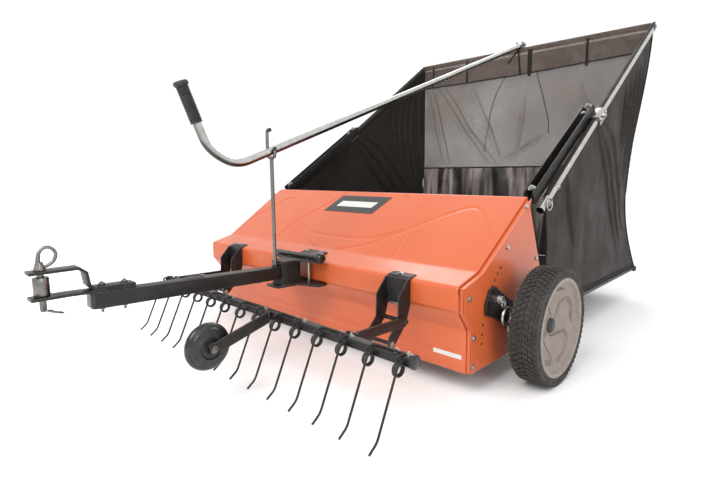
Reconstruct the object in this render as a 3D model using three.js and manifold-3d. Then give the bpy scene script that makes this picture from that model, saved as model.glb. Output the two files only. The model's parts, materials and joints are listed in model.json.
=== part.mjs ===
// A tow-behind lawn sweeper with a fabric hopper and a front dethatcher.
// Millimetres, +Z up, -Y towards the towing vehicle, +X the machine's left side.
// Everything is laid out from the wheel axle's ground point, and the whole group is
// shifted along Y at the end so that the origin is at the middle of its length.
import * as THREE from 'three';
import { mergeVertices } from 'three/addons/utils/BufferGeometryUtils.js';
import Module from 'manifold-3d';

const wasm = await Module();
wasm.setup();

// ---------------------------------------------------------------- driving sizes
const GAP = 0.3;                       // clearance between touching pieces
const SHEET = 2;                       // housing sheet metal
const HALF_WIDTH = 565;                // outer face of an end plate
const COVER_INSET = 13;                // the covers stop this far short of that face

const RIDGE = [74, 472.5];             // housing profile, as (y, z)
const KINK = [-180, 301];
const CREASE = [-264, 278];
const LIP_BOTTOM = [-264.6, 222];
const PANEL_TUCK = [-259.8, 216];      // front panel, tucked behind the lip
const PANEL_CORNER = [-224, 168];
const HOUSING_BOTTOM = 60;

const WHEEL_RADIUS = 151;
const WHEEL_INNER = 617.5;             // inner side of a wheel along X
const WHEEL_OUTER = 692.5;
const RIM_RADIUS = 127;
const AXLE_RADIUS = 10;

const GEAR_MODULE = 2.5;
const RING_TEETH = 56;
const PINION_TEETH = 10;
const SHAFT = [52, 126.5];             // brush shaft axis, as (y, z)
const BRUSH_RADIUS = 119;
const SHAFT_RADIUS = 7.7;

const HOPPER_HALF = 573;               // hopper side tubes along X
const TUBE_RADIUS = 11;
const TOP_CORNER = [1116, 1120];       // hopper tubes, as (y, z)
const TUBE_LOW = [108, 434];
const HOPPER_PIVOT = [523, 716];
const FLOOR_REAR = 1086;
const FLOOR_FRONT = 196;
const FLOOR_HEIGHT = 122;
const ROD_RADIUS = 8;
const CORNER_PULL = 43;                // how far the slack rear corners draw inwards
const SEAM_HEIGHT = 560;               // between the mesh and the solid fabric
const FABRIC = 3;

const HANDLE_HINGE = [1128, 1149];     // dump handle, as (y, z)
const HANDLE_BENDS = [[-487, 562], [-566, 603]];
const GRIP_TIP = [-629, 760];
const GRIP_LENGTH = 99;
const GRIP_RADIUS = 15;
const HANDLE_LOW = [-377, 602];        // a point of its straight run, near the rest

const TONGUE = 36;                     // square tube
const TONGUE_REAR = [-300, 252];
const TONGUE_TIP = [-861, 270];
const PIN_Y = -952;                    // hitch pin
const STRAP = 6;
const STRAP_WIDTH = 38;
const UPPER_STRAP_Z = 344;
const LOWER_STRAP_Z = 290;
const CLEVIS_FRONT = -975;

const LIFT_PIVOT = [-296, 180];        // dethatcher, as (y, z)
const BAR = [-490, 184.5];
const BAR_SIZE = 20;
const BAR_ENDS = [-449, 606];          // the bar reaches further on the left
const TINE_PAIRS = 7;
const FIRST_TINE = 7.5;                // in pitches from the middle
const TINE_PITCH = 78.5;
const TINE_WIRE = 2.5;
const COIL = [-515, 171.5];
const TINE_BEND = [-583, 54];
const TINE_TIP = [-605, 38];
const BRACKET_MIDDLE = 380;
const BRACKET_WIDTH = 74;
const LIFT_ARM_X = 424;
const GAUGE_CENTRE = [-661, 141];
const GAUGE_RADIUS = 57;
const GAUGE_X = 125;

const FRONT_REACH = -CLEVIS_FRONT;
const REAR_REACH = TOP_CORNER[0] + 26;

// ---------------------------------------------------------------- materials
const paint = (color, roughness, metalness) =>
  new THREE.MeshStandardMaterial({ color, roughness, metalness });
const MATERIALS = {
  orange: paint(0xdf5a22, 0.42, 0.1),
  black: paint(0x17171a, 0.5, 0.2),
  zinc: paint(0xb9bcc0, 0.35, 0.85),
  hub: paint(0x9a8f86, 0.6, 0),
  rubber: paint(0x1c1c1d, 0.9, 0),
  bristle: paint(0x2a2a2a, 0.9, 0),
  vinyl: paint(0x2b2723, 0.8, 0),
  mesh: paint(0x6f6963, 0.9, 0),
  grip: paint(0x141414, 0.8, 0),
  nylon: paint(0x3a3a3c, 0.6, 0),
};

// ---------------------------------------------------------------- solids
const toSolid = (geometry) => {
  const bare = geometry.clone();
  bare.deleteAttribute('normal');
  bare.deleteAttribute('uv');
  const merged = mergeVertices(bare, 1e-3);
  return new wasm.Manifold(new wasm.Mesh({
    numProp: 3,
    vertProperties: new Float32Array(merged.attributes.position.array),
    triVerts: new Uint32Array(merged.index.array),
  }));
};

const toGeometry = (solid) => {
  const mesh = solid.getMesh();
  const geometry = new THREE.BufferGeometry();
  geometry.setAttribute('position', new THREE.BufferAttribute(mesh.vertProperties, 3));
  geometry.setIndex(new THREE.BufferAttribute(mesh.triVerts, 1));
  geometry.computeVertexNormals();
  return geometry;
};

// Joins the first list and cuts the second list from it.
const join = (added, cut = []) => {
  let solid = added.map(toSolid).reduce((whole, piece) => whole.add(piece));
  for (const piece of cut) {
    solid = solid.subtract(toSolid(piece));
  }
  return toGeometry(solid);
};

const at = (x, [y, z]) => new THREE.Vector3(x, y, z);

// A flat outline in (y, z), extruded from x0 to x1.
const plate = (outline, x0, x1, holes = []) => {
  const shape = new THREE.Shape(outline.map(([y, z]) => new THREE.Vector2(y, z)));
  for (const hole of holes) {
    shape.holes.push(new THREE.Path(hole.map(([y, z]) => new THREE.Vector2(y, z))));
  }
  const geometry = new THREE.ExtrudeGeometry(shape, { depth: x1 - x0, bevelEnabled: false });
  const axes = new THREE.Matrix4().makeBasis(
    new THREE.Vector3(0, 1, 0), new THREE.Vector3(0, 0, 1), new THREE.Vector3(1, 0, 0));
  return geometry.applyMatrix4(axes).translate(x0, 0, 0);
};

const block = (x0, x1, y0, y1, z0, z1) =>
  new THREE.BoxGeometry(x1 - x0, y1 - y0, z1 - z0)
    .translate((x0 + x1) / 2, (y0 + y1) / 2, (z0 + z1) / 2);

// A flat outline in (x, y), extruded from z0 to z1.
const slab = (outline, z0, z1) => {
  const shape = new THREE.Shape(outline.map(([x, y]) => new THREE.Vector2(x, y)));
  return new THREE.ExtrudeGeometry(shape, { depth: z1 - z0, bevelEnabled: false })
    .translate(0, 0, z0);
};

const rod = (from, to, radius, sides = 14) => {
  const along = new THREE.Vector3().subVectors(to, from);
  const turn = new THREE.Quaternion()
    .setFromUnitVectors(new THREE.Vector3(0, 1, 0), along.clone().normalize());
  return new THREE.CylinderGeometry(radius, radius, along.length(), sides)
    .applyQuaternion(turn)
    .translate((from.x + to.x) / 2, (from.y + to.y) / 2, (from.z + to.z) / 2);
};

const crossRod = (x0, x1, centre, radius, sides = 16) =>
  rod(at(x0, centre), at(x1, centre), radius, sides);

// A flat bar between two points in (y, z), with its width across the line between them.
const flatBar = (from, to, width, x0, x1, overrun = 0) => {
  const angle = Math.atan2(to[1] - from[1], to[0] - from[0]);
  const [c, s] = [Math.cos(angle), Math.sin(angle)];
  const corner = (end, along, across) => [
    end[0] + along * c - across * s, end[1] + along * s + across * c];
  return plate([
    corner(from, -overrun, -width / 2), corner(to, overrun, -width / 2),
    corner(to, overrun, width / 2), corner(from, -overrun, width / 2)], x0, x1);
};

// A ring of points around a centre in (y, z).
const circle = ([y, z], radius, count) =>
  Array.from({ length: count }, (_, i) => {
    const angle = (2 * Math.PI * i) / count;
    return [y + radius * Math.cos(angle), z + radius * Math.sin(angle)];
  });

const between = (a, b, t) => [a[0] + (b[0] - a[0]) * t, a[1] + (b[1] - a[1]) * t];

// A turned solid about an axis parallel to X; the profile is (radius, x).
const turned = (profile, [y, z], segments) => {
  const points = profile.map(([radius, x]) => new THREE.Vector2(radius, x));
  const geometry = new THREE.LatheGeometry(points, segments);
  return geometry.rotateZ(-Math.PI / 2).translate(0, y, z);
};

// A turned solid about a vertical axis; the profile is (radius, height).
const turnedUp = (profile, [y, z], segments) =>
  new THREE.LatheGeometry(profile.map(([r, h]) => new THREE.Vector2(r, h)), segments)
    .rotateX(Math.PI / 2)
    .translate(0, y, z);

// A round tube along a polyline whose corners are rounded off.
const bentTube = (points, radius, bend, steps, sides = 12) => {
  const path = new THREE.CurvePath();
  let start = points[0];
  for (let i = 1; i < points.length - 1; i += 1) {
    const before = points[i].clone().lerp(
      points[i - 1], Math.min(0.5, bend / points[i].distanceTo(points[i - 1])));
    const after = points[i].clone().lerp(
      points[i + 1], Math.min(0.5, bend / points[i].distanceTo(points[i + 1])));
    path.add(new THREE.LineCurve3(start, before));
    path.add(new THREE.QuadraticBezierCurve3(before, points[i], after));
    start = after;
  }
  path.add(new THREE.LineCurve3(start, points.at(-1)));
  const section = new THREE.Shape(
    circle([0, 0], radius, sides).map(([u, v]) => new THREE.Vector2(u, v)));
  return new THREE.ExtrudeGeometry(section, { steps, bevelEnabled: false, extrudePath: path });
};

// The line offset sideways by a distance, with mitred corners.
const offsetLine = (line, distance) => {
  const normals = line.slice(1).map(([y, z], i) => {
    const [dy, dz] = [y - line[i][0], z - line[i][1]];
    const length = Math.hypot(dy, dz);
    return [-dz / length, dy / length];
  });
  return line.map(([y, z], i) => {
    const a = normals[Math.max(i - 1, 0)];
    const b = normals[Math.min(i, normals.length - 1)];
    const scale = distance / (1 + a[0] * b[0] + a[1] * b[1]);
    return [y + (a[0] + b[0]) * scale, z + (a[1] + b[1]) * scale];
  });
};

// A bent sheet: the line and its offset, extruded along X.
const bentSheet = (line, thickness, x0, x1) =>
  plate([...line, ...offsetLine(line, thickness).reverse()], x0, x1);

// A thin closed solid around the surface that place(u, v) describes, thickened along a
// fixed direction.
const thinShell = (place, nu, nv, thickness) => {
  const positions = [];
  const corner = (i, j, side) => side * (nu + 1) * (nv + 1) + i * (nv + 1) + j;
  for (const side of [0, 1]) {
    for (let i = 0; i <= nu; i += 1) {
      for (let j = 0; j <= nv; j += 1) {
        const point = place(i / nu, j / nv);
        point.addScaledVector(thickness, side - 0.5);
        positions.push(point.x, point.y, point.z);
      }
    }
  }
  const index = [];
  const quad = (a, b, c, d) => index.push(a, b, c, a, c, d);
  for (let i = 0; i < nu; i += 1) {
    for (let j = 0; j < nv; j += 1) {
      quad(corner(i, j, 0), corner(i, j + 1, 0), corner(i + 1, j + 1, 0), corner(i + 1, j, 0));
      quad(corner(i, j, 1), corner(i + 1, j, 1), corner(i + 1, j + 1, 1), corner(i, j + 1, 1));
    }
  }
  for (let i = 0; i < nu; i += 1) {
    quad(corner(i, 0, 0), corner(i + 1, 0, 0), corner(i + 1, 0, 1), corner(i, 0, 1));
    quad(corner(i, nv, 0), corner(i, nv, 1), corner(i + 1, nv, 1), corner(i + 1, nv, 0));
  }
  for (let j = 0; j < nv; j += 1) {
    quad(corner(0, j, 0), corner(0, j, 1), corner(0, j + 1, 1), corner(0, j + 1, 0));
    quad(corner(nu, j, 0), corner(nu, j + 1, 0), corner(nu, j + 1, 1), corner(nu, j, 1));
  }
  const geometry = new THREE.BufferGeometry();
  geometry.setAttribute('position', new THREE.Float32BufferAttribute(positions, 3));
  geometry.setIndex(index);
  const solid = toSolid(geometry);
  if (solid.volume() > 0) {
    return toGeometry(solid);
  }
  for (let i = 0; i < index.length; i += 3) {
    [index[i + 1], index[i + 2]] = [index[i + 2], index[i + 1]];
  }
  geometry.setIndex(index);
  return toGeometry(toSolid(geometry));
};

const mirrored = (geometry) => {
  const copy = geometry.clone().scale(-1, 1, 1);
  const index = copy.index
    ? Array.from(copy.index.array)
    : Array.from({ length: copy.attributes.position.count }, (_, i) => i);
  for (let i = 0; i < index.length; i += 3) {
    [index[i + 1], index[i + 2]] = [index[i + 2], index[i + 1]];
  }
  copy.setIndex(index);
  copy.computeVertexNormals();
  return copy;
};

// ---------------------------------------------------------------- the assembly
const sweeper = new THREE.Group();
const layout = new THREE.Group();
layout.position.y = (FRONT_REACH - REAR_REACH) / 2;
sweeper.add(layout);

const addPart = (name, geometry, material) => {
  const mesh = new THREE.Mesh(geometry, MATERIALS[material]);
  mesh.name = name;
  layout.add(mesh);
};

const addPair = (name, geometry, material) => {
  addPart(`${name}_left`, geometry, material);
  addPart(`${name}_right`, mirrored(geometry), material);
};

// ---------------------------------------------------------------- housing
const coverHalf = HALF_WIDTH - COVER_INSET;
const coverLine = [[66, 444], RIDGE, KINK, CREASE, LIP_BOTTOM];
addPart('top_cover', bentSheet(coverLine, SHEET, -coverHalf, coverHalf), 'orange');

const panelLine = [
  [PANEL_TUCK[0], 262], PANEL_TUCK, PANEL_CORNER, [PANEL_CORNER[0], HOUSING_BOTTOM],
  [PANEL_CORNER[0] + 22, HOUSING_BOTTOM - 3]];
addPart('front_panel', bentSheet(panelLine, SHEET, -coverHalf, coverHalf), 'orange');

// The end plates' flange runs just inside the covers.
const flangeGap = SHEET + GAP;
const [, flangeRidge, flangeKink] = offsetLine(coverLine, flangeGap);
const [, flangeTuck, flangeCorner] = offsetLine(panelLine, flangeGap);
const flangeSlope = (CREASE[1] - KINK[1]) / (CREASE[0] - KINK[0]);
const flangeTop = [flangeTuck[0], flangeKink[1] + (flangeTuck[0] - flangeKink[0]) * flangeSlope];
const flangeLine = [
  [62, 444], flangeRidge, flangeKink, flangeTop, flangeTuck, flangeCorner,
  [flangeCorner[0], HOUSING_BOTTOM + 2]];
const endPlateOutline = [
  ...flangeLine, [120, HOUSING_BOTTOM + 2], [150, 100], [150, 205], [137, 278], [66, 440]];
const FLANGE_DEPTH = 24;
const PLATE = 2.5;
const bearingSeat = circle(SHAFT, SHAFT_RADIUS + 0.6, 18);
const endPlate = join([
  plate(endPlateOutline, HALF_WIDTH - PLATE, HALF_WIDTH, [bearingSeat]),
  bentSheet(
    [between(flangeRidge, flangeKink, 0.03), ...flangeLine.slice(2)],
    PLATE, HALF_WIDTH - FLANGE_DEPTH, HALF_WIDTH - PLATE / 2),
]);
addPair('end_plate', endPlate, 'orange');

addPart('cross_tie', crossRod(
  GAP + PLATE - HALF_WIDTH, HALF_WIDTH - PLATE - GAP, [122, 262], 9), 'black');

// ---------------------------------------------------------------- brush
const BRUSH_HALF = 545;
const SHAFT_END = 642;
const CORE_RADIUS = 16;
const coreProfile = [
  [0, -SHAFT_END], [SHAFT_RADIUS, -SHAFT_END], [SHAFT_RADIUS, -BRUSH_HALF],
  [CORE_RADIUS, -BRUSH_HALF], [CORE_RADIUS, BRUSH_HALF], [SHAFT_RADIUS, BRUSH_HALF],
  [SHAFT_RADIUS, SHAFT_END], [0, SHAFT_END]];
addPart('brush_shaft', turned(coreProfile, SHAFT, 24), 'black');

const STRIPS = 4;
for (let i = 0; i < STRIPS; i += 1) {
  const strip = plate([
    [CORE_RADIUS + GAP, -5], [BRUSH_RADIUS, -13], [BRUSH_RADIUS, 13], [CORE_RADIUS + GAP, 5],
  ], -BRUSH_HALF, BRUSH_HALF);
  strip.rotateX((2 * Math.PI * (i + 0.5)) / STRIPS).translate(0, ...SHAFT);
  addPart(`bristle_strip_${i + 1}`, strip, 'bristle');
}

// ---------------------------------------------------------------- gears
// Points of one gear outline with involute flanks, starting at the middle of a tooth.
const gearOutline = (teeth, addendum, dedendum, slack, turn, flankSteps) => {
  const pitch = (teeth * GEAR_MODULE) / 2;
  const base = pitch * Math.cos(Math.PI / 9);
  const involute = (radius) => {
    const reach = Math.sqrt(Math.max((radius / base) ** 2 - 1, 0));
    return reach - Math.atan(reach);
  };
  const halfTooth = (radius) =>
    Math.PI / (2 * teeth) - slack / pitch + involute(pitch) - involute(radius);
  const radii = Array.from({ length: flankSteps + 1 }, (_, i) =>
    pitch - dedendum + (i / flankSteps) * (addendum + dedendum));
  const points = [];
  for (let i = 0; i < teeth; i += 1) {
    const middle = turn + (2 * Math.PI * i) / teeth;
    for (const radius of radii) {
      points.push([radius, middle - halfTooth(radius)]);
    }
    for (const radius of [...radii].reverse()) {
      points.push([radius, middle + halfTooth(radius)]);
    }
  }
  return points.map(([radius, angle]) => [radius * Math.cos(angle), radius * Math.sin(angle)]);
};

const moved = (outline, [y, z]) => outline.map(([a, b]) => [a + y, b + z]);
const AXLE = [0, WHEEL_RADIUS];
const meshAngle = Math.atan2(SHAFT[1] - AXLE[1], SHAFT[0] - AXLE[0]);
const PINION_FACE = [621, 639];
const pinionBore = circle([0, 0], SHAFT_RADIUS + GAP, 18);
const pinion = plate(
  moved(gearOutline(PINION_TEETH, 2.1, 2.2, 0.35, meshAngle, 2), SHAFT), ...PINION_FACE,
  [moved(pinionBore, SHAFT)]);
addPair('pinion', pinion, 'nylon');

// ---------------------------------------------------------------- wheels
const WHEEL_SEGMENTS = 32;
const RING_INNER_X = 619;
const RING_OUTER = 84;
const ringGear = plate(
  circle(AXLE, RING_OUTER, WHEEL_SEGMENTS), RING_INNER_X, 652,
  [moved(gearOutline(RING_TEETH, 2.6, 1.9, -0.15, meshAngle, 1), AXLE)]);
const hubProfile = [
  [AXLE_RADIUS + GAP, 600], [22, 600], [26, 643], [64, 645], [86, 652], [104, 670],
  [121, 676], [121, WHEEL_INNER + 2], [RIM_RADIUS, WHEEL_INNER + 2], [RIM_RADIUS, 691],
  [119, 691], [107, 679], [62, 657], [AXLE_RADIUS + GAP, 652], [AXLE_RADIUS + GAP, 600]];
const hub = join([turned(hubProfile, AXLE, WHEEL_SEGMENTS), ringGear]);
addPair('wheel_hub', hub, 'hub');

const tyreProfile = [
  [RIM_RADIUS + GAP, WHEEL_INNER + 1], [139, WHEEL_INNER], [147, WHEEL_INNER + 5],
  [WHEEL_RADIUS, WHEEL_INNER + 17], [WHEEL_RADIUS, WHEEL_OUTER - 17], [147, WHEEL_OUTER - 5],
  [139, WHEEL_OUTER], [RIM_RADIUS + GAP, WHEEL_OUTER - 1], [RIM_RADIUS + GAP, WHEEL_INNER + 1]];
const tyre = turned(tyreProfile, AXLE, WHEEL_SEGMENTS);
addPair('tyre', tyre, 'rubber');

// ---------------------------------------------------------------- height adjustment
const PIN_REACH = 225;                 // radius of the row of height holes
const PIN_ANGLE = (29 * Math.PI) / 180;
const HEIGHT_PIN = [
  SHAFT[0] - PIN_REACH * Math.cos(PIN_ANGLE), SHAFT[1] + PIN_REACH * Math.sin(PIN_ANGLE)];
const ARM_INNER = HALF_WIDTH + 1.5;
const ARM_OUTER = ARM_INNER + 6;
const armOutline = [
  [SHAFT[0] + 30, SHAFT[1] - 2], [SHAFT[0] + 18, SHAFT[1] + 26], [6, 186], [-70, 225],
  [-128, 262], [-152, 256], [-170, 222], [-168, 196], [-120, 178], [-26, 122],
  [SHAFT[0] + 6, SHAFT[1] - 30]];
const axleArm = join([
  plate(armOutline, ARM_INNER, ARM_OUTER, [circle(SHAFT, SHAFT_RADIUS + 0.7, 18)]),
  crossRod(ARM_OUTER - 1, 651, AXLE, AXLE_RADIUS, 20),
  crossRod(ARM_OUTER - 1, ARM_OUTER + 16, HEIGHT_PIN, 11),
], [crossRod(ARM_INNER - 5, ARM_OUTER + 30, HEIGHT_PIN, 5.4)]);
addPair('axle_arm', axleArm, 'black');

const RING_CENTRE = [-121, 190];
const RING_X = 594;                    // clear of the tyre when pulled out
const pullRing = new THREE.TorusGeometry(21.5, 3.4, 6, 16)
  .rotateY(Math.PI / 2)
  .rotateZ(-0.42)
  .translate(RING_X, ...RING_CENTRE);
const eye = new THREE.TorusGeometry(8, 2.4, 6, 10)
  .rotateY(Math.PI / 2)
  .translate(RING_X, HEIGHT_PIN[0] + 6, HEIGHT_PIN[1] - 10);
const heightPin = join([
  crossRod(HALF_WIDTH + 0.6, RING_X + 1, HEIGHT_PIN, 5, 12),
  eye,
  rod(at(RING_X, [HEIGHT_PIN[0] + 9, HEIGHT_PIN[1] - 17]), at(RING_X, [-129, 209]), 3, 8),
  pullRing,
  rod(at(RING_X, [-112, 171]), at(RING_X, [-99, 127]), 5.5, 10),
]);
addPair('height_pin', heightPin, 'zinc');

// ---------------------------------------------------------------- drawbar
const tongueSlope = (TONGUE_TIP[1] - TONGUE_REAR[1]) / (TONGUE_TIP[0] - TONGUE_REAR[0]);
const tongueCentre = (y) => TONGUE_REAR[1] + (y - TONGUE_REAR[0]) * tongueSlope;
const half = TONGUE / 2;
const WALL = 2.5;
addPart('tongue_tube', join(
  [flatBar(TONGUE_REAR, TONGUE_TIP, TONGUE, -half, half)],
  [flatBar(TONGUE_REAR, TONGUE_TIP, TONGUE - 2 * WALL, WALL - half, half - WALL, 20)]), 'black');

// Two plates clamp the housing's lip, and the lower one carries the tongue's socket.
const SOCKET_FRONT = -365;
const SOCKET_REAR = -298;
const CLAMP_HALF = 100;
const FLAP_HALF = 46;
const FLAP_END = -208;
const clampOutline = (front, rear) => [
  [-27, front], [27, front], [34, -318], [CLAMP_HALF, -296], [CLAMP_HALF, rear],
  [-CLAMP_HALF, rear], [-CLAMP_HALF, -296], [-34, -318]];
const LOWER_PLATE_Z = 212;
const UPPER_PLATE_Z = CREASE[1] + 5;
const tongueSleeve = flatBar(
  TONGUE_REAR, TONGUE_TIP, TONGUE + 2 * GAP, -half - GAP, half + GAP, 60);
addPart('hitch_bracket_lower', join([
  slab(clampOutline(-385, PANEL_TUCK[0] - 2 * GAP), LOWER_PLATE_Z, LOWER_PLATE_Z + 7),
  block(-24, 24, SOCKET_FRONT, SOCKET_REAR, LOWER_PLATE_Z + 6, UPPER_PLATE_Z - GAP),
], [tongueSleeve]), 'black');

const COVER_SLOPE = (KINK[1] - CREASE[1]) / (KINK[0] - CREASE[0]);
const onCover = (y, lift) => [y, CREASE[1] + (y - CREASE[0]) * COVER_SLOPE + lift];
addPart('hitch_bracket_upper', join([
  slab(clampOutline(SOCKET_FRONT, CREASE[0] - 4), UPPER_PLATE_Z, UPPER_PLATE_Z + 6),
  plate([
    [CREASE[0] - 5, UPPER_PLATE_Z], onCover(CREASE[0] + 14, 1), onCover(FLAP_END, 1),
    onCover(FLAP_END, 7), [CREASE[0] - 5, UPPER_PLATE_Z + 6]], -FLAP_HALF, FLAP_HALF),
]), 'black');

const rise = (y) => tongueCentre(y) + half / Math.cos(Math.atan(tongueSlope)) + GAP;
const STRAP_REAR = -772;
const STRAP_BEND = -866;
const PIN_RADIUS = 6.5;
const pinBore = rod(
  at(0, [PIN_Y, LOWER_STRAP_Z - 30]), at(0, [PIN_Y, UPPER_STRAP_Z + 40]), PIN_RADIUS + 0.6, 16);
const strap = (line) =>
  join([bentSheet(line, STRAP, -STRAP_WIDTH / 2, STRAP_WIDTH / 2)], [pinBore]);
addPart('clevis_strap_lower', strap([
  [STRAP_REAR, rise(STRAP_REAR)], [STRAP_BEND, rise(STRAP_BEND)],
  [-905, LOWER_STRAP_Z], [CLEVIS_FRONT, LOWER_STRAP_Z]].reverse()), 'black');
const stacked = (y) => rise(y) + STRAP + 2 * GAP;
addPart('clevis_strap_upper', strap([
  [CLEVIS_FRONT, UPPER_STRAP_Z], [-886, UPPER_STRAP_Z], [-874, 334], [-870, stacked(-870) + 10],
  [-860, stacked(-860)], [STRAP_REAR, stacked(STRAP_REAR)]]), 'black');

// The hitch pin's loop handle stands behind its shank.
const PIN_TOP = UPPER_STRAP_Z + 26;
const PIN_LOOP = 17;
addPart('hitch_pin', join([
  rod(at(0, [PIN_Y, LOWER_STRAP_Z - 26]), at(0, [PIN_Y, PIN_TOP]), PIN_RADIUS, 16),
  rod(at(0, [PIN_Y, UPPER_STRAP_Z + STRAP + GAP]), at(0, [PIN_Y, PIN_TOP - 8]), 10, 16),
  new THREE.TorusGeometry(PIN_LOOP, 4, 8, 24)
    .rotateY(Math.PI / 2)
    .translate(0, PIN_Y + PIN_LOOP - 2, PIN_TOP + 10),
], [crossRod(-20, 20, [PIN_Y, LOWER_STRAP_Z - 16], 2.2, 10)]), 'zinc');
addPart('hitch_spacer', turnedUp([
  [PIN_RADIUS + 0.6, 0], [15, 0], [15, 40], [PIN_RADIUS + 0.6, 40], [PIN_RADIUS + 0.6, 0],
], [PIN_Y, LOWER_STRAP_Z + STRAP + GAP], 24), 'zinc');
addPart('hitch_clip', join([
  crossRod(-16, 11, [PIN_Y, LOWER_STRAP_Z - 16], 1.6, 8),
  bentTube([
    at(11, [PIN_Y, LOWER_STRAP_Z - 16]), at(19, [PIN_Y, LOWER_STRAP_Z - 16]),
    at(19, [PIN_Y + 26, LOWER_STRAP_Z - 26]), at(11, [PIN_Y + 38, LOWER_STRAP_Z - 30]),
    at(-4, [PIN_Y + 12, LOWER_STRAP_Z - 21])], 1.6, 8, 24, 8),
]), 'zinc');

// ---------------------------------------------------------------- dump handle's rest
const REST_Y = -372;
const handleSlope = (HANDLE_HINGE[1] - HANDLE_LOW[1]) / (HANDLE_HINGE[0] - HANDLE_LOW[0]);
const handleAt = (y) => HANDLE_HINGE[1] + (y - HANDLE_HINGE[0]) * handleSlope;
const CRADLE = TUBE_RADIUS + 6.5;
const cradleZ = handleAt(REST_Y) - 1.5;
const REST_ROD = 5.5;
addPart('handle_rest_rod', join([
  rod(at(0, [REST_Y, rise(REST_Y)]), at(0, [REST_Y, cradleZ - CRADLE]), REST_ROD, 10),
  bentTube([
    at(-CRADLE, [REST_Y, cradleZ + 66]), at(-CRADLE, [REST_Y, cradleZ - CRADLE]),
    at(CRADLE, [REST_Y, cradleZ - CRADLE]), at(CRADLE, [REST_Y, cradleZ + 10])],
  REST_ROD, CRADLE, 18, 8),
]), 'zinc');

// ---------------------------------------------------------------- dethatcher
const CHEEK = 3;                       // thickness of the bracket's side walls
const LUG = [-338, 132];
const bracketX0 = BRACKET_MIDDLE - BRACKET_WIDTH / 2;
const bracketX1 = BRACKET_MIDDLE + BRACKET_WIDTH / 2;
const BRACKET_BACK = -268;
const cheekOutline = [
  [BRACKET_BACK, 278], [BRACKET_BACK, 214], [-282, 172], [LUG[0] + 14, LUG[1] - 4],
  [LUG[0] + 2, LUG[1] - 14], [LUG[0] - 12, LUG[1] - 6], [-348, 150], [-315, 182],
  [-312, 242], [-276, 281]];
const bracket = join([
  plate(cheekOutline, bracketX0, bracketX0 + CHEEK, [circle(LIFT_PIVOT, 6, 14)]),
  plate(cheekOutline, bracketX1 - CHEEK, bracketX1, [circle(LIFT_PIVOT, 6, 14)]),
  block(bracketX0, bracketX1, BRACKET_BACK - CHEEK, BRACKET_BACK, 210, 279),
  plate([
    [BRACKET_BACK - CHEEK, 275], [BRACKET_BACK, 275], [BRACKET_BACK, 279.5],
    onCover(CREASE[0], 1.5), onCover(CREASE[0] + 22, 0.8), onCover(CREASE[0] + 22, 3.8),
    [BRACKET_BACK + 1, 284]],
  bracketX0, bracketX1),
  crossRod(bracketX0 + 1, bracketX1 - 1, LUG, 5),
]);
addPair('dethatcher_bracket', bracket, 'black');

const liftArm = join([
  flatBar(LIFT_PIVOT, [BAR[0] + BAR_SIZE / 2 + 3, BAR[1]], 24, LIFT_ARM_X - 3, LIFT_ARM_X + 3, 1),
  flatBar([BAR[0] + BAR_SIZE / 2 + 5, BAR[1] + 13], [BAR[0] + BAR_SIZE / 2 + 5, BAR[1] - 13],
    6, LIFT_ARM_X - 20, LIFT_ARM_X + 12),
  crossRod(bracketX0 - 4, LIFT_ARM_X + 6, LIFT_PIVOT, 5.5),
]);
addPair('lift_arm', liftArm, 'black');

const barHalf = BAR_SIZE / 2;
addPart('tine_bar', block(
  ...BAR_ENDS, BAR[0] - barHalf, BAR[0] + barHalf, BAR[1] - barHalf, BAR[1] + barHalf),
'black');

const COIL_OUTER = 13.5;
const COIL_WIDTH = 11;
const tine = (x) => {
  const root = [COIL[0] - COIL_OUTER + TINE_WIRE, COIL[1]];
  return [
    turned([
      [COIL_OUTER - 2 * TINE_WIRE, x - COIL_WIDTH / 2], [COIL_OUTER, x - COIL_WIDTH / 2],
      [COIL_OUTER, x + COIL_WIDTH / 2], [COIL_OUTER - 2 * TINE_WIRE, x + COIL_WIDTH / 2],
      [COIL_OUTER - 2 * TINE_WIRE, x - COIL_WIDTH / 2]], COIL, 10),
    rod(at(x, root), at(x, TINE_BEND), TINE_WIRE, 6),
    rod(at(x, TINE_BEND), at(x, TINE_TIP), TINE_WIRE, 6),
    new THREE.IcosahedronGeometry(TINE_WIRE).translate(x, ...TINE_BEND),
  ];
};
for (let i = 0; i < TINE_PAIRS; i += 1) {
  const first = (FIRST_TINE - 2 * i) * TINE_PITCH;
  const second = first - TINE_PITCH;
  addPart(`tine_pair_${i + 1}`, join([
    ...tine(first), ...tine(second),
    crossRod(first, second, [COIL[0] + COIL_OUTER - TINE_WIRE, COIL[1]], TINE_WIRE, 6),
  ]), 'black');
}

const GAUGE_ARM_X = 153;
const gaugeArm = join([
  flatBar([BAR[0] - barHalf - 16, BAR[1] - 4], GAUGE_CENTRE, 28, GAUGE_ARM_X - 3, GAUGE_ARM_X + 3, 8),
  block(GAUGE_ARM_X - 18, GAUGE_ARM_X + 3, BAR[0] - barHalf - 6, BAR[0] - barHalf - GAP,
    BAR[1] - 12, BAR[1] + 12),
  crossRod(GAUGE_X - 24, GAUGE_ARM_X, GAUGE_CENTRE, 6),
]);
addPart('gauge_wheel_arm', gaugeArm, 'black');
addPart('gauge_wheel', turned([
  [6.3, GAUGE_X - 22], [24, GAUGE_X - 22], [46, GAUGE_X - 16], [54, GAUGE_X - 9],
  [GAUGE_RADIUS, GAUGE_X], [54, GAUGE_X + 9], [46, GAUGE_X + 16], [24, GAUGE_X + 22],
  [6.3, GAUGE_X + 22], [6.3, GAUGE_X - 22]], GAUGE_CENTRE, 22), 'rubber');

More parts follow.
